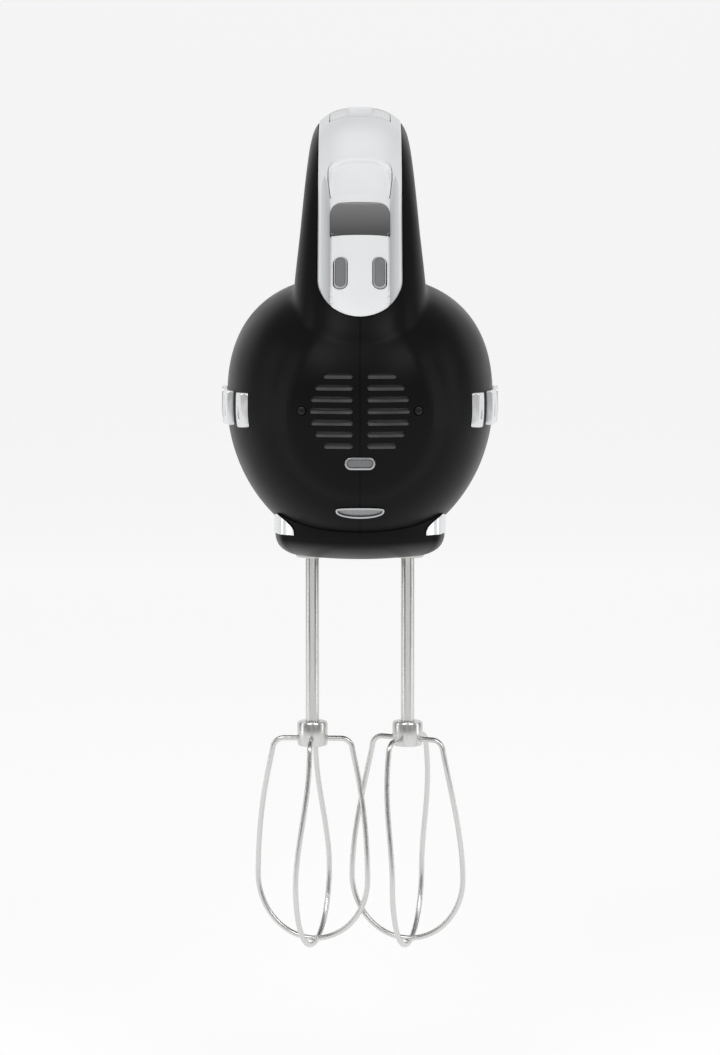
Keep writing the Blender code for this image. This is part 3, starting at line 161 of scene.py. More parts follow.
finishes = {
    # ABS, moulded in a satin tool: near black, a broad soft sheen and a fine grain just visible up close
    "abs": finish("absMoldedSatin", "#101011", "#141415", 0.33, size=40, grain=0.55, detail=3.0,
                  drift=(0.30, 0.37, 18), IOR=1.46, Specular_IOR_Level=0.08),
    # ABS, sprayed with silver lacquer: fine metal flake, soft broad highlights
    "silver": finish("silverLacqueredAbs", "#f0f1f2", "#e8e9ea", 0.48, 0.15, metalFlake, grain=0,
                     drift=(0.44, 0.54, 12), Coat_Weight=0.12, Coat_Roughness=0.25),
    # the same lacquer over a spark eroded face: duller than the smooth middle, and painted greyer as shade where the
    # face tilts away, darkest at the groove and low down
    "texturedSilverShaded": finish("silverLacquerTexturedShaded", "#aeafb1", "#dddedf", 0.55, 0.1, paintedGrooveShade,
                             grain=0.35, depth=0.012),
    # stainless steel, drawn and tumbled: bright, with faint lines along its length
    "stainless": finish("stainlessDrawn", "#d6d6d4", "#d6d6d4", 0.28, 1.0, grain=0.5, depth=0.004,
                        stretch=(1, 1, 0.03), drift=(0.23, 0.34, None)),
    # silicone rubber, moulded: mid grey and matt, slightly dusty on its crown
    "key": finish("siliconeKeyMolded", "#6f7071", "#7c7d7e", 0.52, size=4, depth=0.005, IOR=1.43,
                  Sheen_Weight=0.15),
    # silicone rubber, moulded: the paler lip round a key
    "keyLip": finish("siliconeLipMolded", "#b2b3b4", "#bebfc0", 0.5, size=3, depth=0.004),
    # acrylic, moulded and smoked: glossy face, lighter where light falls into its top edge
    "window": finish("acrylicSmoked", "#434344", "#7c7c7d", 0.16, pattern=litTopEdge, grain=0,
                     drift=(0.13, 0.19, 5), IOR=1.49, Coat_Weight=1.0, Coat_Roughness=0.04),
    # acetal, moulded: milky white with a waxy sheen
    "acetal": finish("acetalMolded", "#d9d9d5", "#e3e3df", 0.38, IOR=1.48),
    # nylon, moulded: ivory and slightly translucent looking
    "nylon": finish("nylonMolded", "#cfc8b2", "#ddd7c4", 0.42, IOR=1.53),
    # zinc, die cast and tumble polished under a bright lacquer: broad pale reflections
    "cast": finish("zincDieCastPolished", "#e2e3e5", "#ecedee", 0.2, 0.5, depth=0.003, Coat_Weight=0.3,
                   Coat_Roughness=0.08),
    # nickel, satin plated: soft bright edges round the small fittings
    "satin": finish("nickelSatinPlated", "#b4b5b7", "#c2c3c5", 0.27, 0.85, size=3, grain=0.6, depth=0.003),
    # aluminium, brushed across: mid grey with fine level lines
    "brushed": finish("aluminiumBrushed", "#88898b", "#9b9c9e", 0.36, 0.8, size=2, grain=0.35, depth=0.02,
                      stretch=(0.06, 1, 1)),
    # ABS, moulded in grey: the matt screen behind the vents
    "screen": finish("absMoldedGrey", "#3b3b3c", "#454546", 0.55, IOR=1.54),
    # thermoplastic rubber, moulded: matt charcoal
    "rubber": finish("tpeRubberMolded", "#1b1b1b", "#242424", 0.72, grain=0.5, depth=0.02),
    # steel, blacked by oxide: dark with a slight oiled sheen
    "screw": finish("steelBlackOxide", "#202021", "#2d2d2e", 0.36, 0.7, size=2),
    # silicon steel, laminated: fine lines across the stack
    "stack": finish("steelLaminated", "#55565a", "#6a6b6f", 0.42, 0.9, size=5, grain=0.5, depth=0.03,
                    stretch=(0.05, 1, 0.05)),
    # copper, enamelled and wound: warm and glossy with turns across it
    "winding": finish("copperEnamelled", "#a1542c", "#b8683a", 0.28, 0.9, size=3, grain=0.5, depth=0.06,
                      stretch=(1, 0.1, 1)),
    # bronze, sintered: porous, warm brown
    "bronze": finish("bronzeSintered", "#8a6a3c", "#9c7b49", 0.46, 1.0, size=2, grain=0.3, depth=0.02),
    # carbon, pressed: matt black
    "carbon": finish("carbonPressed", "#1c1c1d", "#262627", 0.6, size=2, grain=0.25, depth=0.01),
    # glass epoxy with solder mask: satin green, cloth weave just showing
    "board": finish("glassEpoxyBoard", "#14502e", "#1b6339", 0.34, grain=0.6, depth=0.01, Coat_Weight=0.4),
    # aluminium, extruded: pale with drawn lines
    "fins": finish("aluminiumExtruded", "#a9aaad", "#bbbcbe", 0.34, 1.0, size=4, grain=0.5, depth=0.01,
                   stretch=(1, 0.04, 1)),
    # spring steel, cold drawn: mid grey with a close shine
    "spring": finish("springWireDrawn", "#8b8c8e", "#a2a3a5", 0.26, 1.0, size=3, grain=0.3, depth=0.004),
}
print("materials made:", len(finishes))


# mesh tools


def added(name, data):
    made = bpy.data.objects.new(name, data)
    bpy.context.scene.collection.objects.link(made)
    return made


def remove(*objects):
    for obj in objects:
        bpy.data.objects.remove(obj, do_unlink=True)


def fromBmesh(name, bm):
    bmesh.ops.recalc_face_normals(bm, faces=bm.faces)
    mesh = bpy.data.meshes.new(name)
    bm.to_mesh(mesh)
    bm.free()
    return added(name, mesh)


def applied(obj):  # bakes the modifiers into the mesh
    bpy.context.view_layer.update()
    mesh = bpy.data.meshes.new_from_object(obj.evaluated_get(bpy.context.evaluated_depsgraph_get()))
    mesh.transform(obj.matrix_world)
    made = added(obj.name, mesh)
    remove(obj)
    return made


def carve(target, operation, others):
    for other in others:
        step = target.modifiers.new("carve", "BOOLEAN")
        step.operation = operation
        step.solver = "MANIFOLD"
        step.object = other
        target = applied(target)
        remove(other)
    return target


def cut(target, *others):
    return carve(target, "DIFFERENCE", others)


def common(target, *others):
    return carve(target, "INTERSECT", others)


def joined(target, *others):
    return carve(target, "UNION", others)


def twin(obj, mirror=False):
    made = added(obj.name, obj.data.copy())
    if mirror:
        made.data.transform(Matrix.Diagonal((-1, 1, 1, 1)))
        made.data.flip_normals()
    return made


def sideHalf(obj, side, gap):  # what lies on one side of the centre plane
    far = 0.3
    low, high = sorted((side * gap, side * far))
    return common(twin(obj), box((low, -far, -far), (high, far, far)))


def place(obj, name, look, rides, *cad, crease=35):  # names a finished piece and fixes it to its body
    obj.name = name
    obj.data.name = name
    obj.data.materials.clear()
    obj.data.materials.append(finishes[look])
    obj.data.shade_smooth()
    obj.data.set_sharp_from_angle(angle=radians(crease))
    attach(obj, rides)
    if cad:
        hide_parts(*cad)
    return obj


def loft(rings, name="loft"):  # closed skin through rings of equal count
    bm = bmesh.new()
    rows = [[bm.verts.new(p) for p in ring] for ring in rings]
    for row, after in zip(rows, rows[1:]):
        for i in range(len(row)):
            j = (i + 1) % len(row)
            bm.faces.new((row[i], row[j], after[j], after[i]))
    for row in (rows[0][::-1], rows[-1]):  # caps fan out from their middle
        middle = bm.verts.new(sum((v.co for v in row), Vector()) / len(row))
        for i in range(len(row)):
            bm.faces.new((row[i], row[(i + 1) % len(row)], middle))
    return fromBmesh(name, bm)


def box(low, high, edge=0.0, segments=2):  # between two corners, with rounded edges
    low, high = Vector(low), Vector(high)
    bm = bmesh.new()
    bmesh.ops.create_cube(bm, size=1)
    bmesh.ops.scale(bm, vec=high - low, verts=bm.verts)
    bmesh.ops.translate(bm, vec=(low + high) / 2, verts=bm.verts)
    if edge:
        bmesh.ops.bevel(bm, geom=bm.edges[:], offset=edge, segments=segments, profile=0.5, affect="EDGES")
    return fromBmesh("box", bm)


def turned(profile, centre, steps=64, axis=up):  # (radius, height) pairs from the top down the outer side
    turn = axis.to_track_quat("Z", "Y").to_matrix()
    rings = []
    for radius, height in profile:
        ring = []
        for i in range(steps):
            a = 2 * pi * i / steps
            ring.append(Vector(centre) + turn @ Vector((radius * cos(a), radius * sin(a), height)))
        rings.append(ring)
    return loft(rings, "turned")


def stadium(width, height, segments=12):
    radius = min(width, height) / 2
    reach = max(width, height) / 2 - radius
    half = [(reach + radius * cos(t), radius * sin(t)) for t in np.linspace(-pi / 2, pi / 2, segments + 1)]
    outline = half + [(-a, -b) for a, b in half]
    return outline if width >= height else [(b, -a) for a, b in outline]


def inset(outline, distance):  # moves a closed outline, anticlockwise, inwards
    pts = np.array(outline)
    ahead = np.roll(pts, -1, 0) - pts
    behind = pts - np.roll(pts, 1, 0)
    ahead /= np.linalg.norm(ahead, axis=1)[:, None] + 1e-12
    behind /= np.linalg.norm(behind, axis=1)[:, None] + 1e-12
    tangent = ahead + behind
    tangent /= np.linalg.norm(tangent, axis=1)[:, None] + 1e-12
    return [tuple(p + distance * np.array((-t[1], t[0]))) for p, t in zip(pts, tangent)]


def raised(outline, origin, side, upward, height, depth, edge=0.4 * mm, dome=0.0, steps=5):
    # a button like solid: straight wall, rounded edge and a slightly domed crown
    side, upward = Vector(side).normalized(), Vector(upward).normalized()
    out = side.cross(upward)

    def ring(shape, level):
        return [Vector(origin) + side * a + upward * b + out * level for a, b in shape]

    rings = [ring(outline, -depth), ring(outline, height - edge)]
    for i in range(1, steps + 1):
        t = pi / 2 * i / steps
        rings.append(ring(inset(outline, edge * (1 - cos(t))), height - edge + edge * sin(t)))
    top = inset(outline, edge)
    for share in (0.75, 0.5, 0.25):
        rings.append(ring([(a * share, b * share) for a, b in top], height + dome * (1 - share**2)))
    return loft(rings, "raised")


def prism(outline, origin, side, upward, out, inward):
    side, upward = Vector(side).normalized(), Vector(upward).normalized()
    normal = side.cross(upward)
    flat = [Vector(origin) + side * a + upward * b for a, b in outline]
    return loft([[p - normal * inward for p in flat], [p + normal * out for p in flat]])


def superellipse(halfWidth, halfHeight, power, count):
    t = np.linspace(0, 2 * pi, count, endpoint=False)
    c, s = np.cos(t), np.sin(t)
    return list(
        zip(
            halfWidth * np.abs(c) ** (2 / power) * np.sign(c),
            halfHeight * np.abs(s) ** (2 / power) * np.sign(s),
        )
    )


def alongTable(table, at):  # Catmull-Rom through the rows, at a fractional row number
    rows = np.array(table)
    padded = np.vstack((2 * rows[0] - rows[1], rows, 2 * rows[-1] - rows[-2]))
    i = min(int(at), len(rows) - 2)
    f = at - i
    a, b, c, d = padded[i : i + 4]
    return 0.5 * (2 * b + (c - a) * f + (2 * a - 5 * b + 4 * c - d) * f**2 + (3 * b - a - 3 * c + d) * f**3)


def smoothStep(low, high, value):
    t = min(1.0, max(0.0, (value - low) / (high - low)))
    return t * t * (3 - 2 * t)


# the two forms of the housing

body = {
    "halfWidth": 0.0472,
    "top": 0.0992,
    "bottom": 0.0009,
    "middle": 0.5413,  # height of the widest line as a share of the whole
    "upperPower": 2.5,  # fuller above the widest line
    "lowerPower": 1.94,
    "noseY": -0.050,
    "widestY": 0.005,
    "nosePower": 2.4,
    "wall": 0.0026,
    "stations": (  # y, half width, top, bottom
        (0.005, 0.0472, 0.0992, 0.0009), (0.020, 0.0468, 0.0976, 0.0012),
        (0.036, 0.0459, 0.0953, 0.0022), (0.055, 0.0439, 0.0924, 0.0045),
        (0.078, 0.0412, 0.0898, 0.0078), (0.102, 0.0378, 0.0885, 0.0118),
        (0.124, 0.0342, 0.0875, 0.0166), (0.138, 0.0308, 0.0860, 0.0212),
        (0.145, 0.0272, 0.0820, 0.0262), (0.148, 0.0232, 0.0765, 0.0320),
    ),
    "faceRadius": 0.0268,  # disc of the nose's face
    "faceHeight": 0.0512,
    "faceRise": 0.0015,
    "neckHalf": 0.0160,
    "faceFrom": -0.012,  # the rise grows between these two stations
    "faceTo": -0.034,
}

handle = {
    "power": 2.4,
    "wall": 0.004,
    "ribs": (  # outer y, outer z, inner y, inner z, half width
        (-0.0460, 0.0620, 0.0040, 0.0660, 0.0270), (-0.0467, 0.0760, 0.0055, 0.0840, 0.0255),
        (-0.0430, 0.0870, 0.0062, 0.0950, 0.0236), (-0.0340, 0.1010, 0.0072, 0.1050, 0.0223),
        (-0.0240, 0.1140, 0.0092, 0.1140, 0.0211), (-0.0160, 0.1250, 0.0130, 0.1205, 0.0203),
        (-0.0020, 0.1400, 0.0200, 0.1255, 0.0193), (0.0120, 0.1515, 0.0280, 0.1282, 0.0184),
        (0.0280, 0.1570, 0.0360, 0.1290, 0.0178), (0.0460, 0.1585, 0.0470, 0.1290, 0.0176),
        (0.0750, 0.1585, 0.0740, 0.1290, 0.0172), (0.1000, 0.1555, 0.0960, 0.1277, 0.0170),
        (0.1220, 0.1450, 0.1100, 0.1222, 0.0172), (0.1370, 0.1280, 0.1172, 0.1120, 0.0178),
        (0.1440, 0.1080, 0.1200, 0.1000, 0.0190), (0.1462, 0.0900, 0.1208, 0.0880, 0.0205),
        (0.1455, 0.0700, 0.1180, 0.0740, 0.0220),
    ),
}


def faceRise(x, z):  # how far the keyhole shaped face stands out of the nose
    disc = hypot(x, z - body["faceHeight"]) - body["faceRadius"]
    flare = body["neckHalf"] + 0.004 * (1 - smoothStep(0.072, 0.084, z)) + 0.004 * smoothStep(0.088, 0.102, z)
    neck = abs(x) - flare if z > body["faceHeight"] else 1.0
    blend = 0.010  # smooth minimum of the two distances
    h = max(0.0, blend - abs(disc - neck)) / blend
    distance = min(disc, neck) - h * h * blend / 4
    return body["faceRise"] * (1 - smoothStep(-0.0032, 0.0036, distance))


def bodySection(halfWidth, middle, top, bottom, count):  # one power above the widest line, another below
    upper = superellipse(halfWidth, top - middle, body["upperPower"], count)
    lower = superellipse(halfWidth, middle - bottom, body["lowerPower"], count)
    return [(a[0], middle + a[1]) if a[1] > 0 else (b[0], middle + b[1]) for a, b in zip(upper, lower)]


def bodyForm(grow=0.0, ring=160, noseRings=34, rearRings=60, face=True):
    rear = body["stations"][-1][0]
    middle = body["bottom"] + (body["top"] - body["bottom"]) * body["middle"]
    rise, drop = body["top"] - middle + grow, middle - body["bottom"] + grow
    reach = body["widestY"] - body["noseY"] + grow
    power = body["nosePower"]
    rings = []
    for angle in np.linspace(2.2, 88.5, noseRings):
        t = radians(angle)
        share = sin(t) ** (2 / power)
        y = body["widestY"] - reach * cos(t) ** (2 / power)
        halfWidth = (body["halfWidth"] + grow) * share
        ringPoints = []
        for x, z in bodySection(halfWidth, middle, middle + rise * share, middle - drop * share, ring):
            lift = faceRise(x, z) if face else 0.0
            ringPoints.append((x, y - lift * smoothStep(body["faceFrom"], body["faceTo"], y), z))
        rings.append(ringPoints)
    for at in np.linspace(0, len(body["stations"]) - 1, rearRings):
        y, width, top, bottom = alongTable(body["stations"], at)
        y += grow * max(0.0, (y - body["widestY"]) / (rear - body["widestY"]))
        waist = bottom + (top - bottom) * body["middle"]
        rings.append([(x, y, z) for x, z in bodySection(width + grow, waist, top + grow, bottom - grow, ring)])
    return loft(rings, "bodyForm")


def rib(at):
    outerY, outerZ, innerY, innerZ, width = alongTable(handle["ribs"], at)
    return Vector((0, outerY, outerZ)), Vector((0, innerY, innerZ)), width


def handleForm(grow=0.0, ring=112, stations=130):
    rings = []
    for at in np.linspace(0, len(handle["ribs"]) - 1, stations):
        outer, inner, width = rib(at)
        out = (outer - inner).normalized()
        outline = superellipse(width + grow, (outer - inner).length / 2 + grow, handle["power"], ring)
        rings.append([(outer + inner) / 2 + right * x + out * n for x, n in outline])
    return loft(rings, "handleForm")


def overHandle(at, x, rise):  # point at lateral x and rise above the handle's outer side
    outer, inner, width = rib(at)
    out = (outer - inner).normalized()
    half = (outer - inner).length / 2
    drop = (1 - min(1.0, abs(x) / width) ** handle["power"]) ** (1 / handle["power"])
    return (outer + inner) / 2 + right * x + out * (half * drop + rise)


def ribAt(z, first=0.5, last=8.5):  # rib number where the outer line reaches height z, before its top
    for _ in range(40):
        middle = (first + last) / 2
        if rib(middle)[0].z < z:
            first = middle
        else:
            last = middle
    return first


def panelFrame(z):  # point on the handle's front line, and the way up along it
    at = ribAt(z)
    low, high = rib(at - 0.02)[0], rib(at + 0.02)[0]
    return rib(at)[0], (high - low).normalized()


def noseY(x, z):  # how far forward the housing's face lies there
    middle = body["bottom"] + (body["top"] - body["bottom"]) * body["middle"]
    above = z > middle
    power, nosePower = body["upperPower" if above else "lowerPower"], body["nosePower"]
    half = abs(body["top" if above else "bottom"] - middle)
    share = min(0.999, (abs(x / body["halfWidth"]) ** power + abs((z - middle) / half) ** power) ** (1 / power))
    y = body["widestY"] - (body["widestY"] - body["noseY"]) * (1 - share**nosePower) ** (1 / nosePower)
    return y - faceRise(x, z) * smoothStep(body["faceFrom"], body["faceTo"], y)


# housing: both forms run together with a soft crease, hollowed, cut and parted

vents = {
    "z": 0.0546,
    "radius": 0.0174,
    "rows": 7,
    "pitch": 0.0040,
    "height": 0.0021,
    "spine": 0.0024,
    "screwX": 0.0200,
    "screwHole": 0.00165,
}
band = {
    "half": 0.0147,
    "proud": 0.0004,
    "deep": 0.0020,
    "tipZ": 0.0868,
    "tipRise": 0.0115,  # height of its rounded front end
    "tailZ": 0.112,
    "tailShare": 0.8,  # its rear end, as a share of its half width
    "gap": 0.0003,
}
controls = {
    "displayZ": 0.1195,
    "displaySize": (0.0206, 0.0136),
    "speedX": 0.0068,
    "speedZ": 0.1012,
    "speedSize": (0.0046, 0.0130),
    "turboZ": 0.0366,
    "turboSize": (0.0105, 0.0043),
    "crescentZ": 0.0192,
    "crescentHalf": 0.0084,
    "crescentLow": 0.0026,
    "crescentHigh": 0.0013,
    "switchY": 0.0270,
    "switchHalf": 0.0107,
    "switchLength": 0.0130,
    "switchTravel": 0.0060,
    "ejectFrom": 0.072,  # height from which the button's outline is cut upwards
    "switchBox": (0.145, 0.175),  # heights between which its hole is cut
    "thumbTop": 0.1586,
    "ejectY": (-0.0131, -0.0013),
    "ejectHalf": 0.0111,
}


def bandHalf(at):  # half width of the band at a rib number: rounded at both ends
    z = rib(at)[0].z
    if at < 9:
        t = (z - band["tipZ"]) / band["tipRise"]
    else:
        t = (z - band["tailZ"]) / (band["half"] * band["tailShare"])
    t = min(1.0, max(0.0, t))
    return band["half"] * sqrt(1 - (1 - t) ** 2)


def bandEnds():  # rib numbers of the band's two ends
    first = ribAt(band["tipZ"])
    low, high = 10.0, 15.0
    for _ in range(40):
        middle = (low + high) / 2
        if rib(middle)[0].z > band["tailZ"]:
            low = middle
        else:
            high = middle
    return first, low


def strip(halfOf, xs, rise, depth, ends, count=170, ease=True):  # closed slab over the handle
    first, last = ends
    rings = []
    for share in np.linspace(0, 1, count):
        if ease:
            share = share - 0.9 * sin(2 * pi * share) / (2 * pi)  # closer together at the rounded ends
        at = first + (last - first) * share
        half = max(halfOf(at), 0.0002)
        over = [overHandle(at, x * half, rise(x * half, at, half)) for x in xs]
        under = [overHandle(at, x * half, -depth) for x in xs]
        rings.append(over + under[::-1])
    return loft(rings, "strip")


def crescent(grow=0.0, steps=28):  # nearly flat above, a shallow bow below, with small round tips
    half, low, high = (controls[key] + grow for key in ("crescentHalf", "crescentLow", "crescentHigh"))
    lower = [(-half * cos(t), -low * sin(t) ** 0.85) for t in np.linspace(0, pi, steps + 1)]
    upper = [(half * cos(t), high * sin(t) ** 0.42) for t in np.linspace(0, pi, steps + 1)[1:-1]]
    return lower + upper


def displayShape(grow=0.0, steps=8):
    half, tall = controls["displaySize"][0] / 2 + grow, controls["displaySize"][1] / 2 + grow
    corner, low = tall * 0.62, 0.0012
    arc = np.linspace(0, pi / 2, steps + 1)
    foot = [(half - low + low * sin(t), -tall + low - low * cos(t)) for t in arc]
    shoulder = [(half - corner + corner * cos(t), tall - corner + corner * sin(t)) for t in arc]
    side = foot + shoulder
    return side + [(-a, b) for a, b in side[::-1]]


def ejectShape(grow=0.0):
    front, back = controls["ejectY"][0] - grow, controls["ejectY"][1] + grow
    half, nip = controls["ejectHalf"] + grow, 0.0034
    side = [(half * 0.92, front), (half, (front + back) / 2), (half, back - nip)]
    side += [(half - nip + nip * cos(t), back - nip + nip * sin(t)) for t in np.linspace(0, pi / 2, 7)[1:]]
    return side + [(-x, y) for x, y in side[::-1]]


def bandCutter(grow):
    first, last = bandEnds()
    beyond = 80 * grow  # in rib numbers
    return strip(
        lambda at: bandHalf(at) + grow,
        np.linspace(-1, 1, 9),
        lambda x, at, half: 4 * band["deep"],
        band["deep"] + grow,
        (first - beyond, last + beyond),
    )


def speedPrism(side, grow, out, inward):
    point, upward = panelFrame(controls["speedZ"])
    wide, tall = controls["speedSize"]
    outline = stadium(wide + 2 * grow, tall + 2 * grow)
    return prism(outline, point + right * side * controls["speedX"], right, upward, out, inward)


def switchHole():
    half, gap = controls["switchHalf"], band["gap"]
    y, length = controls["switchY"], controls["switchLength"]
    return box(
        (-half - gap, y - length / 2 - gap, controls["switchBox"][0]),
        (half + gap, y + length / 2 + controls["switchTravel"] + gap, controls["switchBox"][1]),
    )


def ventRows(side):  # middle and length of each slot on one side
    rows = []
    for row in range(vents["rows"]):
        rise = (row - (vents["rows"] - 1) / 2) * vents["pitch"]
        end = sqrt(vents["radius"] ** 2 - rise**2)
        rows.append((side * (end + vents["spine"]) / 2, vents["z"] + rise, end - vents["spine"]))
    return rows


shell = {
    "voxel": 0.0009,
    "smoothing": 8,
    "creaseFrom": 0.0012,  # this near to both forms a point keeps its softened place
    "creaseTo": 0.0042,
    "underside": ((-0.0250, -0.0210, -0.010), (0.0250, 0.0950, 0.022)),  # opening over the base
    "panel": ((-0.0116, -0.060, 0.0927), (0.0116, 0.0024, 0.1431)),  # opening under the band's controls
    "cordHole": 0.0045,
    "cordZ": 0.1010,
    "part": 0.00011,  # half of the parting line
}


def makeHousing():
    smooth = joined(bodyForm(), handleForm())
    rough = twin(smooth)
    remesh = rough.modifiers.new("even", "REMESH")
    remesh.mode = "VOXEL"
    remesh.voxel_size = shell["voxel"]
    rough = applied(rough)
    soften = rough.modifiers.new("soften", "SMOOTH")
    soften.factor = 0.5
    soften.iterations = shell["smoothing"]
    rough = applied(rough)
    # away from the crease every point goes back to the clean form
    bodyOnly, handleOnly = bodyForm(), handleForm()
    depsgraph = bpy.context.evaluated_depsgraph_get()
    trees = [BVHTree.FromObject(o, depsgraph) for o in (bodyOnly, handleOnly)]
    whole = BVHTree.FromObject(smooth, depsgraph)
    for vertex in rough.data.vertices:
        near = [tree.find_nearest(vertex.co)[3] for tree in trees]
        keepShare = smoothStep(shell["creaseTo"], shell["creaseFrom"], max(near))
        target = whole.find_nearest(vertex.co)[0]
        vertex.co = vertex.co * keepShare + target * (1 - keepShare)
    remove(bodyOnly, handleOnly, smooth)
    print("housing form:", len(rough.data.vertices), "points")

    inside = joined(bodyForm(-body["wall"], 64, 16, 24, False), handleForm(-handle["wall"], 40, 60))
    cutters = [inside, box(*shell["underside"]), bandCutter(band["gap"]), box(*shell["panel"]), switchHole()]
    turboZ, crescentZ = controls["turboZ"], controls["crescentZ"]
    wide, tall = controls["turboSize"]
    turboY = noseY(0, turboZ)
    cutters.append(prism(stadium(wide + 0.0005, tall + 0.0005), (0, turboY, turboZ), right, up, 0.004, 0.008))
    cutters.append(prism(crescent(0.0002), (0, noseY(0, crescentZ), crescentZ), right, up, 0.010, 0.0018))
    hole = shell["cordHole"]
    cutters.append(turned([(hole, 0.160), (hole, 0.130)], (0, 0, shell["cordZ"]), 40, backward))
    hole = vents["screwHole"]
    for side in (-1, 1):
        x = side * vents["screwX"]
        y = noseY(x, vents["z"])
        cutters.append(turned([(hole, -y + 0.004), (hole, -y - 0.008)], (x, 0, vents["z"]), 32, forward))
        for x, z, length in ventRows(side):
            cutters.append(prism(stadium(length, vents["height"]), (x, noseY(x, z), z), right, up, 0.004, 0.008))
    whole = cut(rough, *cutters)
    # thin tongue behind the parting line, so that no light comes through it
    tongue = cut(bodyForm(-0.0007, 96, 24, 40), bodyForm(-body["wall"] - 0.0002, 64, 16, 24, False))
    tongue = common(tongue, box((-0.0016, -0.060, -0.001), (0.0016, 0.020, 0.086)))
    room = box((-0.008, turboY - 0.01, turboZ - 0.0024), (0.008, turboY + 0.01, turboZ + 0.0024))
    place(cut(tongue, room), "seamTongue", "abs", "housing", crease=40)
    for side, word in sides:
        half = sideHalf(whole, side, shell["part"])
        place(half, word + "Housing", "abs", "housing", word + "_shell", crease=40)
    remove(whole)
    print("housing done")


makeHousing()


# base plate with its raked chin, and the bright trims on its flanks

base = {
    "half": 0.0300,
    "front": -0.033,
    "bow": 0.0125,  # how far the chin's corners lie behind its middle
    "rear": 0.116,
    "trimBottom": 0.0093,
    "trimDeep": 0.0022,
    "trimProud": 0.0004,
    "wall": 0.0052,
    "floor": 0.0030,
    "screwPlaces": ((-0.0190, 0.0260), (0.0190, 0.0260), (-0.0155, 0.0965), (0.0155, 0.0965)),
    "screwHole": [(0.0019, 0.008), (0.0019, 0.0018), (0.0036, 0.0018), (0.0036, -0.004)],
    "socketX": 0.0170,
    "socketHole": 0.0061,
    "slot": (0.0300, 0.0030),  # air slots under the motor
    "slotFrom": 0.040,
    "slotPitch": 0.0080,
    "slots": 5,
    "levels": (  # height, how far in the flanks lie there, how far back the chin lies
        (0.0, 0.0064, 0.0104), (0.0003, 0.0053, 0.0096), (0.0009, 0.0041, 0.0086), (0.0017, 0.0030, 0.0073),
        (0.0028, 0.0019, 0.0055), (0.0042, 0.0010, 0.0034), (0.0056, 0.0005, 0.0015), (0.0067, 0.00025, 0.0004),
        (0.0074, 0.0001, 0.0001), (0.0093, 0.0, 0.0),
    ),
    "trimEdge": (  # lateral, height: the trims' upper edge
        (0.0232, 0.0088), (0.0233, 0.0108), (0.0243, 0.0125),
        (0.0266, 0.0145), (0.0300, 0.0168), (0.0330, 0.0186),
    ),
}


def basePlan(pull=0.0, front=None, count=160):
    front = base["front"] if front is None else front
    half = base["half"] - pull
    cornerX, cornerY = 0.0277 - pull, front + base["bow"] + pull
    side = [(cornerX * i / 12, front + pull + base["bow"] * (i / 12) ** 2) for i in range(13)]
    side += [(cornerX + 0.0014, cornerY + 0.0045), (half - 0.0002, cornerY + 0.0095)]
    side += [(half, cornerY + 0.0160), (half - 0.0004, 0.024), (half - 0.0016, 0.060), (half - 0.0036, 0.090)]
    rear = base["rear"] - pull
    for t in np.linspace(0, 1.5, 9):
        side.append(((half - 0.0060) * cos(t), rear - 0.016 + 0.016 * sin(t)))
    smooth = [tuple(alongTable(side, at)) for at in np.linspace(0, len(side) - 1, count)]
    return smooth + [(-x, y) for x, y in smooth[:0:-1]]


def baseForm(pull=0.0, top=0.0300):
    rings = []
    for z, inwards, rake in base["levels"] + ((top, 0.0, 0.0),):
        rings.append([(x, y, z) for x, y in basePlan(pull + inwards, base["front"] + rake)])
    return loft(rings, "baseForm")


def trimSpace(grow):  # where a trim may lie: outside a line within the base, and below its edge
    far = 0.2
    space = box((-far, -far, base["trimBottom"] - grow), (far, far, 0.028))
    plan = basePlan(base["trimDeep"] + grow)
    space = cut(space, loft([[(x, y, z) for x, y in plan] for z in (0.0, 0.050)]))
    fine = [tuple(alongTable(base["trimEdge"], at)) for at in np.linspace(0, len(base["trimEdge"]) - 1, 26)]
    edge = [(x - grow, z + grow * 0.6) for x, z in fine] + [(0.0420, 0.0290), (0.0420, 0.050)]
    outline = [(-x, z) for x, z in edge[::-1]] + [(-edge[0][0], 0.0), (edge[0][0], 0.0)] + edge
    return cut(space, prism(outline, (0, far, 0), right, up, 2 * far, 0.0))


def makeBase():
    outside = bodyForm(0.00025, 160, 34, 60, True)
    trim = common(baseForm(-base["trimProud"], 0.0280), trimSpace(0.0))
    trim = cut(trim, twin(outside))
    for side, word in sides:
        place(sideHalf(trim, side, 0.001), word + "Trim", "cast", "housing", word + "_trim", crease=30)
    remove(trim)

    plate = cut(baseForm(), trimSpace(0.0002), outside)
    plan = basePlan(base["wall"], base["front"] + 0.0060)
    cutters = [loft([[(x, y, z) for x, y in plan] for z in (base["floor"], 0.050)])]
    hole = base["socketHole"]
    for x in (-base["socketX"], base["socketX"]):
        cutters.append(turned([(hole, 0.008), (hole, -0.004)], (x, 0, 0), 64))
    for x, y in base["screwPlaces"]:
        cutters.append(turned(base["screwHole"], (x, y, 0), 32))
    for row in range(base["slots"]):
        y = base["slotFrom"] + row * base["slotPitch"]
        cutters.append(prism(stadium(*base["slot"]), (0, y, 0), right, backward, 0.008, 0.004))
    place(cut(plate, *cutters), "basePlate", "abs", "housing", "base_plate", crease=40)
    print("base done")


makeBase()


# bright band over the handle, with its controls

stripHalf = 0.0101
bandGrid = (  # lateral places of its rows, in mm: close together at the groove and at the rim
    *(0, 1.5, 3.2, 4.8, 6.4, 8.0, 9.2, 9.8, 9.95, 10.1, 10.25, 10.45),
    *(11.4, 12.6, 13.6, 14.1, 14.3, 14.45, 14.58, 14.66, 14.7),
)


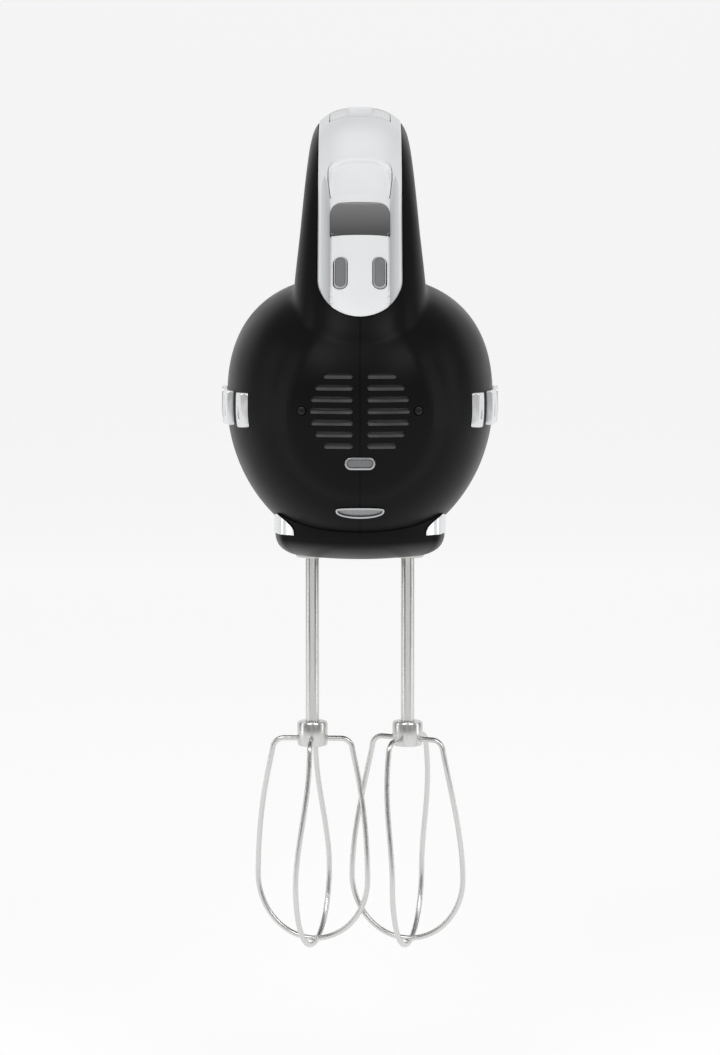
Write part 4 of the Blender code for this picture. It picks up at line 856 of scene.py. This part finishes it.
def bandRise(x, at, half):
    edge = max(0.0, abs(x) - (half - 0.0005)) / 0.0005  # rounded rim, with a fine step inside it
    rise = band["proud"] - 0.00040 * edge**2
    rise -= 0.00022 * (1 - smoothStep(half - 0.0012, half - 0.0010, abs(x)))
    z = rib(at)[0].z
    if at < 9:
        lower = 1 - smoothStep(0.118, 0.138, z)  # below the window the middle stands up between two grooves
        groove = max(0.0, 1 - abs(abs(x) - stripHalf) / 0.00025)
        rise += 0.00045 * lower * (1 - smoothStep(stripHalf - 0.0003, stripHalf + 0.0001, abs(x)))
        rise -= 0.00080 * groove * (1 - smoothStep(0.112, 0.120, z))
        rise -= 0.0011 * lower * smoothStep(stripHalf - 0.0006, band["half"] - 0.0002, abs(x))
    return rise


def makeBand():
    xs = [-v / bandGrid[-1] for v in bandGrid[:0:-1]] + [v / bandGrid[-1] for v in bandGrid]
    whole = strip(bandHalf, xs, bandRise, band["deep"], bandEnds(), 220)
    point, upward = panelFrame(controls["displayZ"])
    cutters = [prism(displayShape(0.0002), point, right, upward, 0.004, 0.008)]
    cutters.append(prism(ejectShape(0.0003), (0, 0, controls["ejectFrom"]), right, backward, 0.12, 0.0))
    cutters.append(switchHole())
    for side in (-1, 1):
        cutters.append(speedPrism(side, 0.00028, 0.004, 0.008))
    whole = cut(whole, *cutters)
    zones = []
    for side in (-1, 1):  # duller zone beside the middle, painted greyer as shade, ending above in a point
        inner = stripHalf + 0.0002
        edge = [(inner, 0.070), (inner, 0.1235), (0.0106, 0.1268), (0.0111, 0.1300), (0.0117, 0.1325)]
        edge += [(0.0125, 0.1345), (0.0131, 0.1325), (0.0136, 0.1295), (0.0137, 0.1200), (0.0137, 0.070)]
        shape = [(side * x, z) for x, z in edge]
        zones.append(prism(shape if side < 0 else shape[::-1], (0, -0.070, 0), right, up, 0.0, 0.075))
    flanks = common(twin(whole), joined(twin(zones[0]), twin(zones[1])))
    # the flanks carry painted shade: greyer than the middle, darkest at the groove
    place(flanks, "bandFlanks", "texturedSilverShaded", "housing", "handle_band", crease=32)
    place(cut(whole, *zones), "handleBand", "silver", "housing", "handle_band", crease=32)

    window = raised(displayShape(), point, right, upward, 0.00035, 0.0020, 0.00035, 0.0003)
    place(window, "displayWindow", "window", "housing", "display_window")
    point, upward = panelFrame(controls["speedZ"])
    for side, name, rides in ((-1, "speedDownButton", "speed_down"), (1, "speedUpButton", "speed_up")):
        origin = point + right * side * controls["speedX"]
        wide, tall = controls["speedSize"]
        lip = raised(stadium(wide - 0.0002, tall - 0.0002), origin, right, upward, 0.0006, 0.0036, 0.0002)
        hollow = prism(stadium(wide - 0.0009, tall - 0.0009), origin, right, upward, 0.004, 0.0010)
        place(cut(lip, hollow), name + "Lip", "keyLip", rides, rides + "_button")
        button = raised(stadium(wide - 0.0010, tall - 0.0010), origin, right, upward, 0.0006, 0.0016, 0.0004, 0.0003)
        place(button, name, "key", rides)
    print("band done")


makeBand()


def makeEjector():
    # thumb scoop: sinks steeply under its upper edge and runs out towards the window
    xs = np.linspace(-1, 1, 41)

    def scoop(x, at, half):
        z = rib(at)[0].z
        crest = 0.1403 - 0.0042 * (abs(x) / 0.0113) ** 4  # arched upper edge
        bowl = smoothStep(crest, crest - 0.0020, z) * (0.25 + 0.75 * smoothStep(0.1262, 0.1375, z))
        return band["proud"] - 0.0015 * bowl * (1 - smoothStep(0.0098, 0.0113, abs(x)))

    whole = strip(lambda at: 0.0130, xs, scoop, 0.0036, (ribAt(0.118), ribAt(0.1445)), 80, False)
    button = common(whole, prism(ejectShape(), (0, 0, controls["ejectFrom"]), right, backward, 0.12, 0.0))
    place(button, "ejectButton", "silver", "ejector", "eject_button", crease=40)

    y, half, length = controls["switchY"], controls["switchHalf"], controls["switchLength"]

    def slideRise(x, at, reach):  # two shallow finger grooves lie beside the thumb piece
        away = abs(rib(at)[0].y - (y - 0.0031))
        across = smoothStep(0.0044, 0.0050, abs(x)) * (1 - smoothStep(0.0097, 0.0103, abs(x)))
        return band["proud"] - 0.0001 - 0.0005 * across * (1 - smoothStep(0.0006, 0.0011, away))

    skin = strip(lambda at: 0.0112, np.linspace(-1, 1, 49), slideRise, 0.0024, (6.0, 8.6), 110, False)
    low, high = controls["switchBox"]
    slide = common(skin, box((-half, y - length / 2, low), (half, y + length / 2, high)))
    thumb = box((-0.0043, y - 0.0018, 0.1545), (0.0043, y + 0.0018, controls["thumbTop"]), 0.0006, 4)
    place(joined(slide, thumb), "powerSwitch", "silver", "power_switch", "power_switch", crease=40)
    print("ejector and switch done")


makeEjector()


# pieces on the nose and flanks


def makeNose():
    z = controls["turboZ"]
    y = noseY(0, z)
    wide, tall = controls["turboSize"]
    ring = raised(stadium(wide, tall), (0, y, z), right, up, 0.0008, 0.0042, 0.0003)
    dish = prism(stadium(wide - 0.0013, tall - 0.0013), (0, y, z), right, up, 0.004, 0.0008)
    place(cut(ring, dish), "turboRim", "satin", "turbo", "turbo_button")
    pad = raised(stadium(wide - 0.0015, tall - 0.0015), (0, y, z), right, up, 0.0006, 0.0012, 0.0004, 0.0002)
    place(pad, "turboPad", "key", "turbo")
    z = controls["crescentZ"]
    y = noseY(0, z)
    rim = prism(crescent(), (0, y, z), right, up, 0.010, 0.0016)
    rim = common(rim, bodyForm(0.0004))
    rim = cut(rim, prism(crescent(-0.0006), (0, y, z), right, up, 0.010, 0.0030))
    place(rim, "crescentRim", "satin", "housing", "nose_crescent", crease=30)
    floor = prism(crescent(-0.0005), (0, y, z), right, up, 0.010, 0.0016)
    place(common(floor, bodyForm(-0.0001)), "crescentInlay", "brushed", "housing", crease=30)
    z = vents["z"]
    profile = [(0.0006, 0.0001), (0.0011, 0.00005), (0.00138, -0.0001), (0.00145, -0.0004), (0.00145, -0.0055)]
    for side, word in sides:
        x = side * vents["screwX"]
        y = noseY(x, z)
        slot = box((x - 0.0009, y - 0.001, z - 0.00015), (x + 0.0009, y + 0.0004, z + 0.00015))
        head = cut(turned(profile, (x, y, z), 32, forward), slot)
        place(head, word + "NoseScrew", "screw", "housing", word + "_nose_screw")


def makeVents():  # slats lean back inside the slots, so that their lower edges catch the light
    profile = [(0.0176, -0.0413), (0.0180, -0.0415), (0.0180, -0.0425), (0.0060, -0.0425)]
    screen = turned(profile, (0, 0, vents["z"]), 64, backward)
    for side in (-1, 1):
        for x, z, length in ventRows(side):
            outline = stadium(length - 0.0002, vents["height"] - 0.0002)
            back = [(x + a, -0.0420, z + b) for a, b in outline]
            front = [(x + a, noseY(x + a, z + b) + 0.0009 + 0.45 * b, z + b) for a, b in outline]
            screen = joined(screen, loft([front, back]))
    place(screen, "ventScreen", "screen", "housing", "vent_screen", crease=30)
    print("vents done")


def makeBadges():
    # plain ornament: a row of blocks with softened edges
    badge = {
        "z": 0.0536,
        "height": 0.0120,
        "proud": 0.0020,
        "blocks": ((-0.0314, -0.0280), (-0.0195, -0.0113), (-0.0080, 0.0002), (0.0035, 0.0117)),  # front and rear
        "flute": 0.0011,  # width of the groove down each block
    }
    outer, inner, deep, floor = (
        bodyForm(grow, 160, 60, 90, False)
        for grow in (badge["proud"], 0.00005, badge["proud"] + 0.002, badge["proud"] * 0.55)
    )
    skin, under = cut(outer, inner), cut(deep, floor)
    z, half, wide = badge["z"], badge["height"] / 2, badge["flute"] / 2
    tall = half * 0.62
    whole = None
    for front, rear in badge["blocks"]:
        bar = common(twin(skin), box((0.020, front, z - half), (0.080, rear, z + half), 0.0007, 3))
        middle = (front + rear) / 2
        flute = box((0.020, middle - wide, z - tall), (0.080, middle + wide, z + tall), 0.0004, 2)
        bar = cut(bar, common(flute, twin(under)))
        whole = bar if whole is None else joined(whole, bar)
    remove(under, skin)
    bevel = whole.modifiers.new("edge", "BEVEL")
    bevel.width = 0.00025
    bevel.segments = 2
    bevel.limit_method = "ANGLE"
    bevel.angle_limit = radians(50)
    whole = applied(whole)
    place(twin(whole, True), "leftBadge", "cast", "housing", "left_badge", crease=30)
    place(whole, "rightBadge", "cast", "housing", "right_badge", crease=30)
    print("nose and badges done")


makeNose()
makeVents()
makeBadges()


# beaters

beater = {
    "x": 0.0170,
    "wire": 0.00095,
    "exitZ": -0.0662,
    "shoulder": 0.0143,
    "bend": 0.0040,
    "cage": 0.0206,
    "widestZ": -0.1165,
    "bottom": -0.1412,
    "twist": radians(13.0),
    "leftTop": radians(-93.5),
    "rightTop": radians(-118.5),
    "hub": (0.00545, -0.0600, -0.0688),
    "shaft": 0.0024,
    "shaftTop": 0.0465,
}


def loopSide(bottom):  # half of a wire loop, as (radius, height) from the hub down to the foot
    b = beater
    pts = [(0.0034, b["exitZ"]), (0.0052, b["exitZ"]), (0.0072, b["exitZ"])]
    centre = (b["shoulder"] - b["bend"], b["exitZ"] - b["bend"])
    for t in np.linspace(90, 3, 10):
        pts.append((centre[0] + b["bend"] * cos(radians(t)), centre[1] + b["bend"] * sin(radians(t))))
    top = centre[1] - 0.0030
    for share in np.linspace(0, 0.93, 14):
        z = top + (b["widestZ"] - top) * share
        away = (z - b["widestZ"]) / (centre[1] - b["widestZ"])
        pts.append((b["cage"] - (b["cage"] - b["shoulder"]) * away**1.7, z))
    for t in np.linspace(0, 86, 24):
        pts.append((b["cage"] * cos(radians(t)), b["widestZ"] - (b["widestZ"] - bottom) * sin(radians(t))))
    return pts


def wireThrough(points, radius):
    curve = bpy.data.curves.new("wire", "CURVE")
    curve.dimensions = "3D"
    curve.bevel_depth = radius
    curve.bevel_resolution = 5
    curve.use_fill_caps = True
    spline = curve.splines.new("POLY")
    spline.points.add(len(points) - 1)
    for knot, (x, y, z) in zip(spline.points, points):
        knot.co = (x, y, z, 1)
    made = applied(added("wire", curve))
    bm = bmesh.new()
    bm.from_mesh(made.data)
    bmesh.ops.remove_doubles(bm, verts=bm.verts, dist=0.000002)
    remove(made)
    return fromBmesh("wire", bm)


def wireLoop(centreX, topAngle, twist, bottom):
    side = loopSide(bottom)
    flat = side + [(0.0, bottom)] + [(-r, z) for r, z in side[::-1]]
    start = beater["exitZ"] - beater["bend"]
    points = []
    for r, z in flat:
        share = min(1.0, max(0.0, (start - z) / (start - beater["widestZ"])))
        angle = topAngle + twist * share * share * (3 - 2 * share)
        points.append((centreX + r * cos(angle), r * sin(angle), z))
    return wireThrough(points, beater["wire"])


def makeBeater(side, word, topAngle):
    x, radius = side * beater["x"], beater["shaft"]
    hubRadius, hubTop, hubBottom = beater["hub"]
    rides = word + "_beater"
    top = beater["shaftTop"]
    waist = radius - 0.0003  # ring groove near its top
    profile = [(radius * 0.55, top), (radius, top - 0.0030), (radius, top - 0.0110), (waist, top - 0.0115)]
    profile += [(waist, top - 0.0125), (radius, top - 0.0130), (radius, hubBottom + 0.0035)]
    shaft = turned(profile, (x, 0, 0), 48)
    ears = box((x - 0.0009, -0.0034, 0.0330), (x + 0.0009, 0.0034, 0.0410), 0.0003)
    place(joined(shaft, ears), word + "BeaterShaft", "stainless", rides, word + "_beater_shaft")
    edge = hubRadius - 0.0003
    profile = [(radius + 0.0003, hubTop), (hubRadius - 0.0008, hubTop), (edge, hubTop - 0.0002)]
    profile += [(hubRadius, hubTop - 0.0008), (hubRadius, hubBottom + 0.0009), (edge, hubBottom + 0.0002)]
    profile += [(hubRadius - 0.0009, hubBottom), (0.0005, hubBottom)]
    bore = [(radius + 0.0002, hubTop + 0.002), (radius + 0.0002, hubBottom + 0.0033)]
    hub = cut(turned(profile, (x, 0, 0), 64), turned(bore, (x, 0, 0), 48))
    place(hub, word + "BeaterHub", "stainless", rides, word + "_beater_hub")
    above = beater["bottom"] + 2 * beater["wire"] + 0.0003  # the second loop passes over the first
    for letter, turn, bottom in (("A", 0.0, beater["bottom"]), ("B", pi / 2, above)):
        wire = wireLoop(x, topAngle + turn, side * beater["twist"], bottom)
        place(wire, word + "BeaterLoop" + letter, "stainless", rides, word + "_beater_loop_" + letter.lower())
    collar = turned([(0.0058, 0.0060), (0.0058, -0.0004), (0.0056, -0.0008), (0.0052, -0.0009)], (x, 0, 0), 64)
    collar = cut(collar, turned([(0.0049, 0.010), (0.0049, -0.004)], (x, 0, 0), 64))
    place(collar, word + "SocketCollar", "acetal", "housing", word + "_socket_bush")


for side, word in sides:
    makeBeater(side, word, beater[word + "Top"])
print("beaters done")


# the heel, and finishes for the pieces that keep their own shape


heel = {"centre": Vector((0, 0.1483, 0.0545)), "half": (0.0165, 0.0210), "ribs": 7, "pitch": 0.0045}
gland = {"centre": (0, 0.1492, 0.1010), "bore": 0.0024}


def makeHeel():
    centre = heel["centre"]
    pad = raised(superellipse(*heel["half"], 3.2, 96), centre, (-1, 0, 0), up, 0.0030, 0.0, 0.0009)
    cutters = []
    for i in range(heel["ribs"]):  # shallow grip ribs
        z = centre.z - 0.0135 + i * heel["pitch"]
        cutters.append(box((-0.0125, centre.y + 0.0024, z - 0.0005), (0.0125, centre.y + 0.005, z + 0.0005)))
    place(cut(pad, *cutters), "heelPad", "rubber", "housing", "heel_pad")
    profile = [(0.0053, 0.0), (0.0054, -0.0003), (0.0054, -0.0016), (0.0042, -0.0020), (0.0042, -0.0090)]
    hole = turned([(gland["bore"], 0.004), (gland["bore"], -0.012)], gland["centre"], 32, backward)
    sleeve = cut(turned(profile, gland["centre"], 48, backward), hole)
    place(sleeve, "cordGland", "rubber", "housing", "cord_gland")
    print("heel done")


makeHeel()

inner = {
    "screen": ("vent_screen",),
    "screw": ("base_screw_1", "base_screw_2", "base_screw_3", "base_screw_4"),
    "acetal": ("gearbox_tray", "gearbox_cover", "eject_plunger", "cooling_fan"),
    "nylon": ("left_worm_wheel", "right_worm_wheel"),
    "stainless": (
        *("left_spindle", "right_spindle", "left_eject_pin", "right_eject_pin"),
        *("motor_shaft", "motor_bracket"),
    ),
    "bronze": ("front_bearing", "middle_bearing", "rear_bearing"),
    "stack": ("armature", "stator_core"),
    "winding": ("commutator", "left_field_coil", "right_field_coil"),
    "carbon": ("left_brush", "right_brush"),
    "board": ("display_board", "control_board"),
    "fins": ("heat_sink",),
}
for look, names in inner.items():
    for name in names:
        nodes[name].data.materials.clear()
        nodes[name].data.materials.append(finishes[look])
print("inner pieces finished")


def makeSpring():
    # the return spring under the eject fork, drawn at rest: the real one shortens as the button goes down
    spring = {"turns": 3, "radius": 0.0036, "wire": 0.00045, "travel": 0.0050}
    low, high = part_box("eject_spring")
    middle = (low + high) / 2
    bottom, top = low[2] + spring["wire"], high[2] - spring["wire"]
    steps = spring["turns"] * 36
    points = []
    for i in range(steps + 1):
        angle = 2 * pi * spring["turns"] * i / steps
        reach = (middle[0] + spring["radius"] * cos(angle), middle[1] + spring["radius"] * sin(angle))
        points.append((*reach, bottom + (top - bottom) * i / steps))
    coil = place(wireThrough(points, spring["wire"]), "ejectSpring", "spring", "housing", "eject_spring")
    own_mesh(coil)
    print("spring done")


makeSpring()


# floor, lights and camera

studio = {
    "drop": 0.0565,  # floor below the beaters at rest: the pins push them 5 mm and they pull out 50 mm more
    "sweep": 2.6,  # how far back the floor goes before it stands up
    "rise": 2.4,
    "curve": 0.9,
    "glow": 0.72,
    "world": "#ffffff",
    "worldStrength": 0.24,
    "lights": (  # name, place, aim, size, watts
        ("key", (-0.65, -1.25, 1.25), (0, 0, 0.06), (0.8, 0.8), 9.0),
        ("fill", (0.75, -1.25, 1.15), (0, 0, 0.06), (0.8, 0.8), 8.0),
        ("top", (0, 0.2, 1.6), (0, 0.05, 0), (1.0, 1.0), 3.5),
        ("leftStrip", (-1.2, -0.15, 0.25), (0, 0.02, 0.05), (0.35, 1.2), 2.2),
        ("rightStrip", (1.2, -0.15, 0.25), (0, 0.02, 0.05), (0.35, 1.2), 2.2),
    ),
    "lens": 128.4,
    "sensor": 36,
    "eye": (0, -1.333, 0.1459),
    "pitch": 5.84,  # degrees below level
}


def makeStudio():
    bm = bmesh.new()
    far, rise, radius = studio["sweep"], studio["rise"], studio["curve"]
    floorZ = cadBox[0][2] - studio["drop"]
    line = [(-far * 1.4, floorZ)]
    for t in np.linspace(0, pi / 2, 24):
        line.append((far - radius + radius * sin(t), floorZ + radius - radius * cos(t)))
    line.append((far, floorZ + rise))
    rows = [[bm.verts.new((x, y, z)) for y, z in line] for x in (-5, 5)]
    for i in range(len(line) - 1):
        bm.faces.new((rows[0][i], rows[1][i], rows[1][i + 1], rows[0][i + 1]))
    floor = fromBmesh("studioFloor", bm)
    floor.data.shade_smooth()
    # matt painted paper sweep, lit from its own surface too so that it stays pale
    glow = {"Emission_Color": srgb("#ffffff"), "Emission_Strength": studio["glow"]}
    floor.data.materials.append(finish("paperSweepMatt", "#9a9a9a", "#9e9e9e", 0.9, size=900, grain=0, **glow))
    for name, where, aim, size, watts in studio["lights"]:
        data = bpy.data.lights.new(name, "AREA")
        data.shape = "RECTANGLE"
        data.size, data.size_y = size
        data.energy = watts
        lamp = added(name, data)
        lamp.location = where
        lamp.rotation_euler = (Vector(aim) - Vector(where)).to_track_quat("-Z", "Y").to_euler()
    world = bpy.data.worlds.new("studio")
    bpy.context.scene.world = world
    world.use_nodes = True
    backing = world.node_tree.nodes["Background"]
    backing.inputs["Color"].default_value = srgb(studio["world"])
    backing.inputs["Strength"].default_value = studio["worldStrength"]
    camera = bpy.data.cameras.new("camera")
    camera.lens = studio["lens"]
    camera.sensor_width = studio["sensor"]
    eye = added("camera", camera)
    eye.location = studio["eye"]
    eye.rotation_euler = (radians(90 - studio["pitch"]), 0, 0)
    bpy.context.scene.camera = eye
    bpy.context.scene.view_settings.view_transform = "Standard"


makeStudio()
print("studio done")
